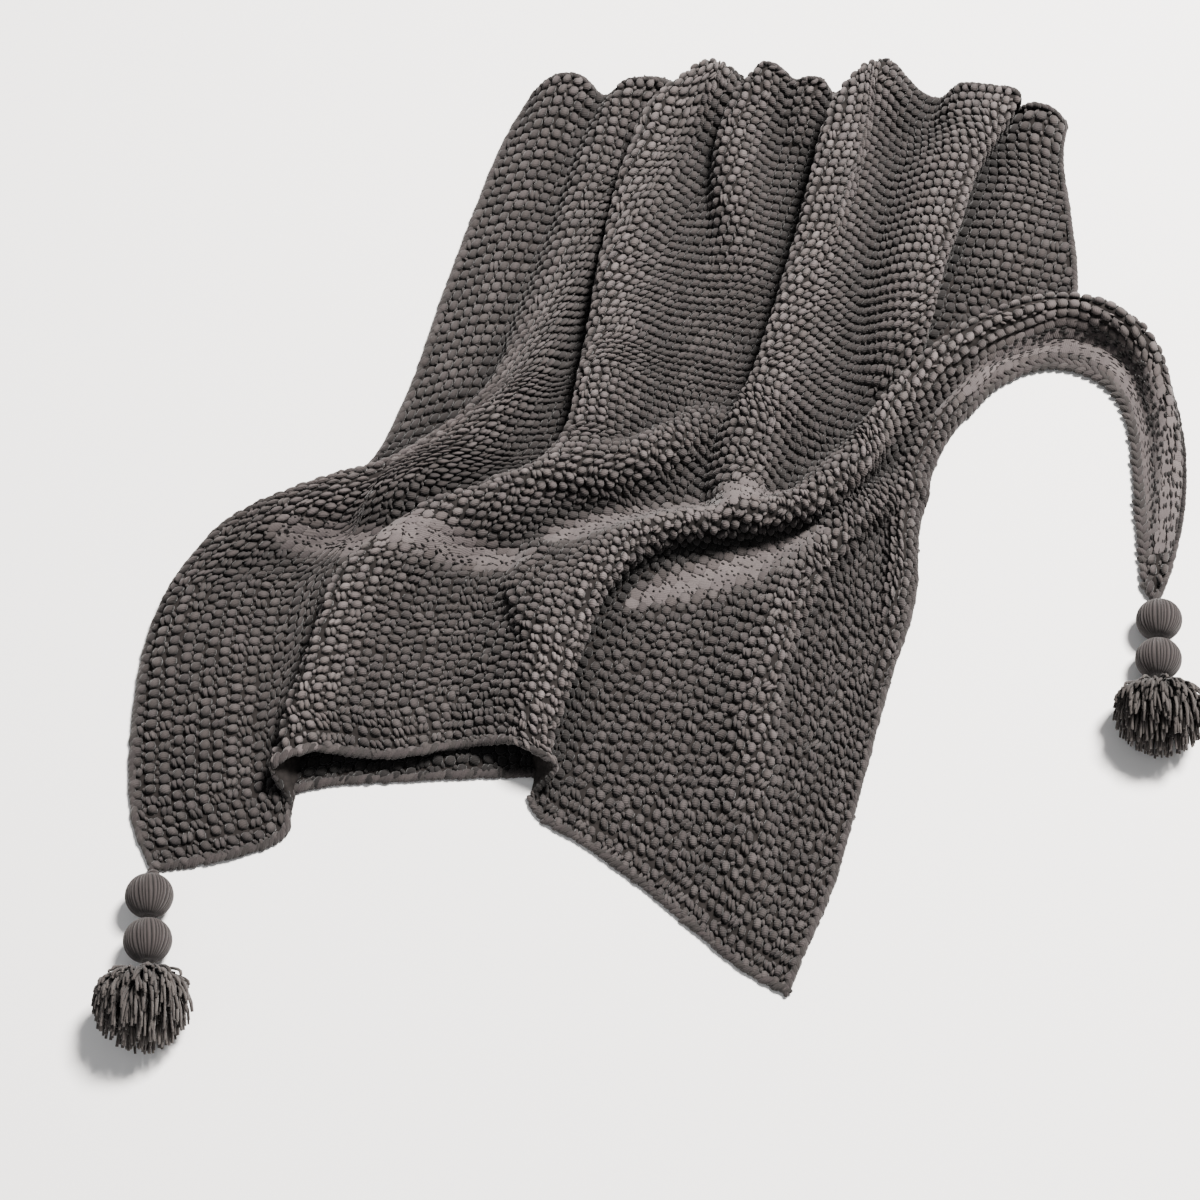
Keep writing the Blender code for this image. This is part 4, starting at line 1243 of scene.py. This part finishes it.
def painted_shadow_yarn(name, code):
    """The inner side of the knit, where turns of yarn press on each other: the same wool, with
    its shadow painted in: near-black, darkening to half between the turns."""
    material, tree, shader = new_material(name, {
        "Roughness": 0.95, "Specular IOR Level": 0.15})
    space = add_node(tree, "ShaderNodeTexCoord")
    turns = add_node(tree, "ShaderNodeTexVoronoi",
                     {"Vector": space.outputs["Object"], "Scale": 1 / 0.009})
    half = tuple(0.5 * c for c in linear(code)[:3]) + (1,)
    tone = colour_ramp(tree, turns.outputs["Distance"], [linear(code), half])
    tree.links.new(tone, shader.inputs["Base Color"])
    bump = add_node(tree, "ShaderNodeBump", {"Height": turns.outputs["Distance"],
                                             "Strength": 0.8, "Distance": 0.002}, invert=True)
    tree.links.new(bump.outputs[0], shader.inputs["Normal"])
    return material


def pale_floor(name):
    """A plain matt floor, faintly uneven in tone."""
    material, tree, shader = new_material(name, {"Roughness": 0.8})
    space = add_node(tree, "ShaderNodeTexCoord")
    cloud = add_node(tree, "ShaderNodeTexNoise",
                     {"Vector": space.outputs["Object"], "Scale": 0.6, "Detail": 1.0})
    tone = colour_ramp(tree, cloud.outputs["Fac"], [linear("f7f6f5"), linear("fbfbfa")])
    tree.links.new(tone, shader.inputs["Base Color"])
    return material


HEATHER = ("312d2d", "363231", "373231", "3c3737", "45403f")
KNIT = spun_yarn("knit_wool_yarn", HEATHER, 2.4, 0.12, 0.14)
# The edges' yarn is a darker heather than the knit's: painted shade of the rolled edges and the chain
EDGE_HEATHER_PAINTED_SHADE = ("282524", "2c2928", "2e2a2a", "332e2e", "3a3635")
EDGE = spun_yarn("edge_wool_yarn", EDGE_HEATHER_PAINTED_SHADE, 2.4, 0.12, 0.14)
CUT = spun_yarn("cut_wool_yarn", ("403b39", "4a4543", "57524f"), 1.8, 0.12, 0.10)
WOUND = spun_yarn("wound_thread", ("353030", "3c3736"), 1.2, 0.12, 0.10)
# Painted shadow: the base sheet under the stitches is near-black so the gaps between them read dark
INNER_PAINTED_SHADOW = painted_shadow_yarn("inner_wool_painted_shadow", "201d1c")

# ---- Build ----

body_floor, body_points, strip_points, main_plan, corner_plan = lay_all()
body, strip = measure(body_points), measure(strip_points)
all_points = np.concatenate([body_points.reshape(-1, 3), strip_points.reshape(-1, 3)])
HEIGHTS = {spread: height_map(all_points, spread) for spread in SHADES}
main_knit, _ = knit_on(body, body_floor, main_plan)
corner_knit, corner_inside = knit_on(body, body_floor, corner_plan)
base = cloth_base(body_points, strip_points, INNER_PAINTED_SHADOW)
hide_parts("blanket")


def add_yarn(name, made, material):
    """One piece of yarn on the cloth from a gathered set of points, faces and values."""
    points, quads, triangles, values = made
    piece = new_piece(name, points, [quads, triangles], material, uv=values[:, :2],
                      rise=values[:, 2], tone=values[:, 3])


rows, columns, wales, spans = body_stitches()
for number in range(BODY_PIECES):
    some = (columns * BODY_PIECES / (BODY_WALES * FINER)).astype(int) == number
    add_yarn("body_stitches_%d" % (number + 1),
             stitch_set(main_knit, rows[some], columns[some], wales[some], spans[some],
                        SEEDS["body"] + number), KNIT)
rows, columns, wales = corner_stitches(corner_inside)
add_yarn("corner_stitches",
         stitch_set(corner_knit, rows, columns, wales, FINER, SEEDS["corner"]), KNIT)
rows, columns, wales = strip_stitches(strip)
spans = strip_wale_spans(strip, rows, columns)
add_yarn("strip_stitches",
         stitch_set(strip, rows, columns, wales, spans, SEEDS["strip"], True), KNIT)

# The layer of the throw that lies on the floor under its drawn-back hem
front, back = (curve_through(rows, UNDER_WALES * FINER + 1) for rows in
               (UNDERLAYER_FRONT, UNDERLAYER_BACK))
part = np.linspace(0, 1, UNDER_ROWS * FINER + 1)[:, None, None]
under_points = np.concatenate([front[None] * (1 - part) + back[None] * part,
                               np.zeros((len(part), len(front), 1))], axis=2)
under = measure(under_points)
add_yarn("under_layer_base", slab(under_points), INNER_PAINTED_SHADOW)
row, wale = block_of_knit(UNDER_ROWS, UNDER_WALES)
add_yarn("under_layer_stitches",
         stitch_set(under, (row + 0.5) * FINER, (wale + 0.5) * FINER, wale, FINER,
                    SEEDS["under_layer"]), KNIT)

last_row, last_column = body_points.shape[0] - 1.0, body_points.shape[1] - 1.0
strip_row, strip_column = strip_points.shape[0] - 1.0, strip_points.shape[1] - 1.0
slit_row = float(ROWS_TO_SLIT * FINER)
chain_side = strip_points[:, -1, :2] - np.array(CHAIN_START)
chain_row = float(np.argmin((chain_side ** 2).sum(-1)))


def along_rows(first, last, column):
    """Fractional rows from first to last in one column of a sheet."""
    rows = np.arange(first, last + 0.5)
    return rows, np.full(len(rows), column)


def along_columns(row, last):
    """Fractional columns from 0 to last in one row of a sheet."""
    columns = np.arange(0, last + 0.5)
    return np.full(len(columns), row), columns


# Rolled edges: sheet, places on it, the way out and how far the turns of yarn slant
EDGES = {
    "left_selvedge": (body, along_rows(0, last_row, 0.0), ("across", -1), SIDE_SLANT),
    "body_hem": (body, along_columns(0.0, last_column), ("along", -1), HEM_SLANT),
    "far_end": (body, along_columns(last_row, last_column), ("along", 1), HEM_SLANT),
    "right_back_selvedge": (body, along_rows(slit_row, last_row, last_column), ("across", 1),
                            SIDE_SLANT),
    "strip_hem": (strip, along_columns(0.0, strip_column), ("along", -1), HEM_SLANT),
    "strip_outside": (strip, along_rows(slit_row, strip_row, 0.0), ("across", -1), SIDE_SLANT),
    "under_layer_edge": (under, along_columns(0.0, UNDER_WALES * FINER), ("along", -1), HEM_SLANT),
    "right_selvedge": (strip, along_rows(0, chain_row, strip_column), ("across", 1), RIGHT_SLANT),
}
rng = np.random.default_rng(SEEDS["edges"])
rolled = [rolled_edge(edge_line(sheet, *places, outward), ROPE_PITCH, slant, rng)
          for sheet, places, outward, slant in EDGES.values()]
add_yarn("rolled_edges", gather(rolled), EDGE)
chain_line = edge_line(strip, *along_rows(chain_row, strip_row, strip_column), ("across", 1))
add_yarn("chain_edge", chain_edge(chain_line, CHAIN_PITCH, rng), EDGE)

for side, lie in TASSELS.items():
    axes = tassel_axes(lie["corner"], lie["towards"])
    made = {
        "corner_tie": wound_tie(side + "_tie_yarn", axes, CLEARANCE + NECK_LENGTH / 2,
                                NECK_RADIUS, NECK_LENGTH, NECK_RADIUS, 3, WOUND),
        "upper_ball": wound_ball(side + "_first_ball", axes, FIRST_BALL_PLACE, WOUND),
        "lower_ball": wound_ball(side + "_second_ball", axes, SECOND_BALL_PLACE, WOUND),
        "head_wrap": wound_tie(side + "_wrap_yarn", axes, WRAP_PLACE, BALL_RADIUS - BALL_SINK,
                               WRAP_LENGTH, WRAP_RADIUS, 3, WOUND),
        "pompom": pompom(side + "_cut_pompom", axes, SEEDS[side], CUT),
    }
    for node, piece in made.items():
        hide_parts(side + "_" + node)

# ---- Floor, light and camera ----

CAMERA_HEIGHT_ANGLE = math.radians(62)
CAMERA_DISTANCE = 2.8
LENS_MM = 67.2
MIDDLE_OF_CLOTH = (0.05, 0.15, 0.0)
SKY_STRENGTH = 0.32


def aim(obj, place, target):
    """Put an object at a place in the plan and turn it to face a target."""
    obj.location = Vector(place) + Vector(SHIFT * MM)
    obj.rotation_euler = (Vector(target) - Vector(place)).to_track_quat("-Z", "Y").to_euler()


def soft_light(name, place, size, power, colour):
    """A square soft light that faces the middle of the cloth."""
    lamp = bpy.data.lights.new(name, "AREA")
    lamp.shape = "SQUARE"
    lamp.size = size
    lamp.energy = power
    lamp.color = linear(colour)[:3]
    aim(in_scene(name, lamp), place, MIDDLE_OF_CLOTH)


floor_mesh = bpy.data.meshes.new("studio_floor")
floor_mesh.from_pydata([(-6, -6, 0), (6, -6, 0), (6, 6, 0), (-6, 6, 0)], [], [(0, 1, 2, 3)])
floor_mesh.materials.append(pale_floor("pale_studio_floor"))
studio_floor = in_scene("studio_floor", floor_mesh)

# Each light: name, place in metres, size, power in watts and colour
soft_light("key_light", (2.5, 2.2, 5.6), 1.6, 2050.0, "fffaf6")
soft_light("fill_light", (-1.6, -1.8, 3.2), 2.5, 18.0, "f6f8ff")
world = bpy.data.worlds.new("studio")
bpy.context.scene.world = world
world.use_nodes = True
background = world.node_tree.nodes["Background"]
background.inputs["Color"].default_value = linear("fdfdfd")
background.inputs["Strength"].default_value = SKY_STRENGTH

camera = bpy.data.cameras.new("camera")
camera.sensor_width = 36
camera.lens = LENS_MM
camera_object = in_scene("camera", camera)
aim(camera_object, (0.0, -CAMERA_DISTANCE * math.cos(CAMERA_HEIGHT_ANGLE),
                    CAMERA_DISTANCE * math.sin(CAMERA_HEIGHT_ANGLE)), (0, 0, 0))
bpy.context.scene.camera = camera_object
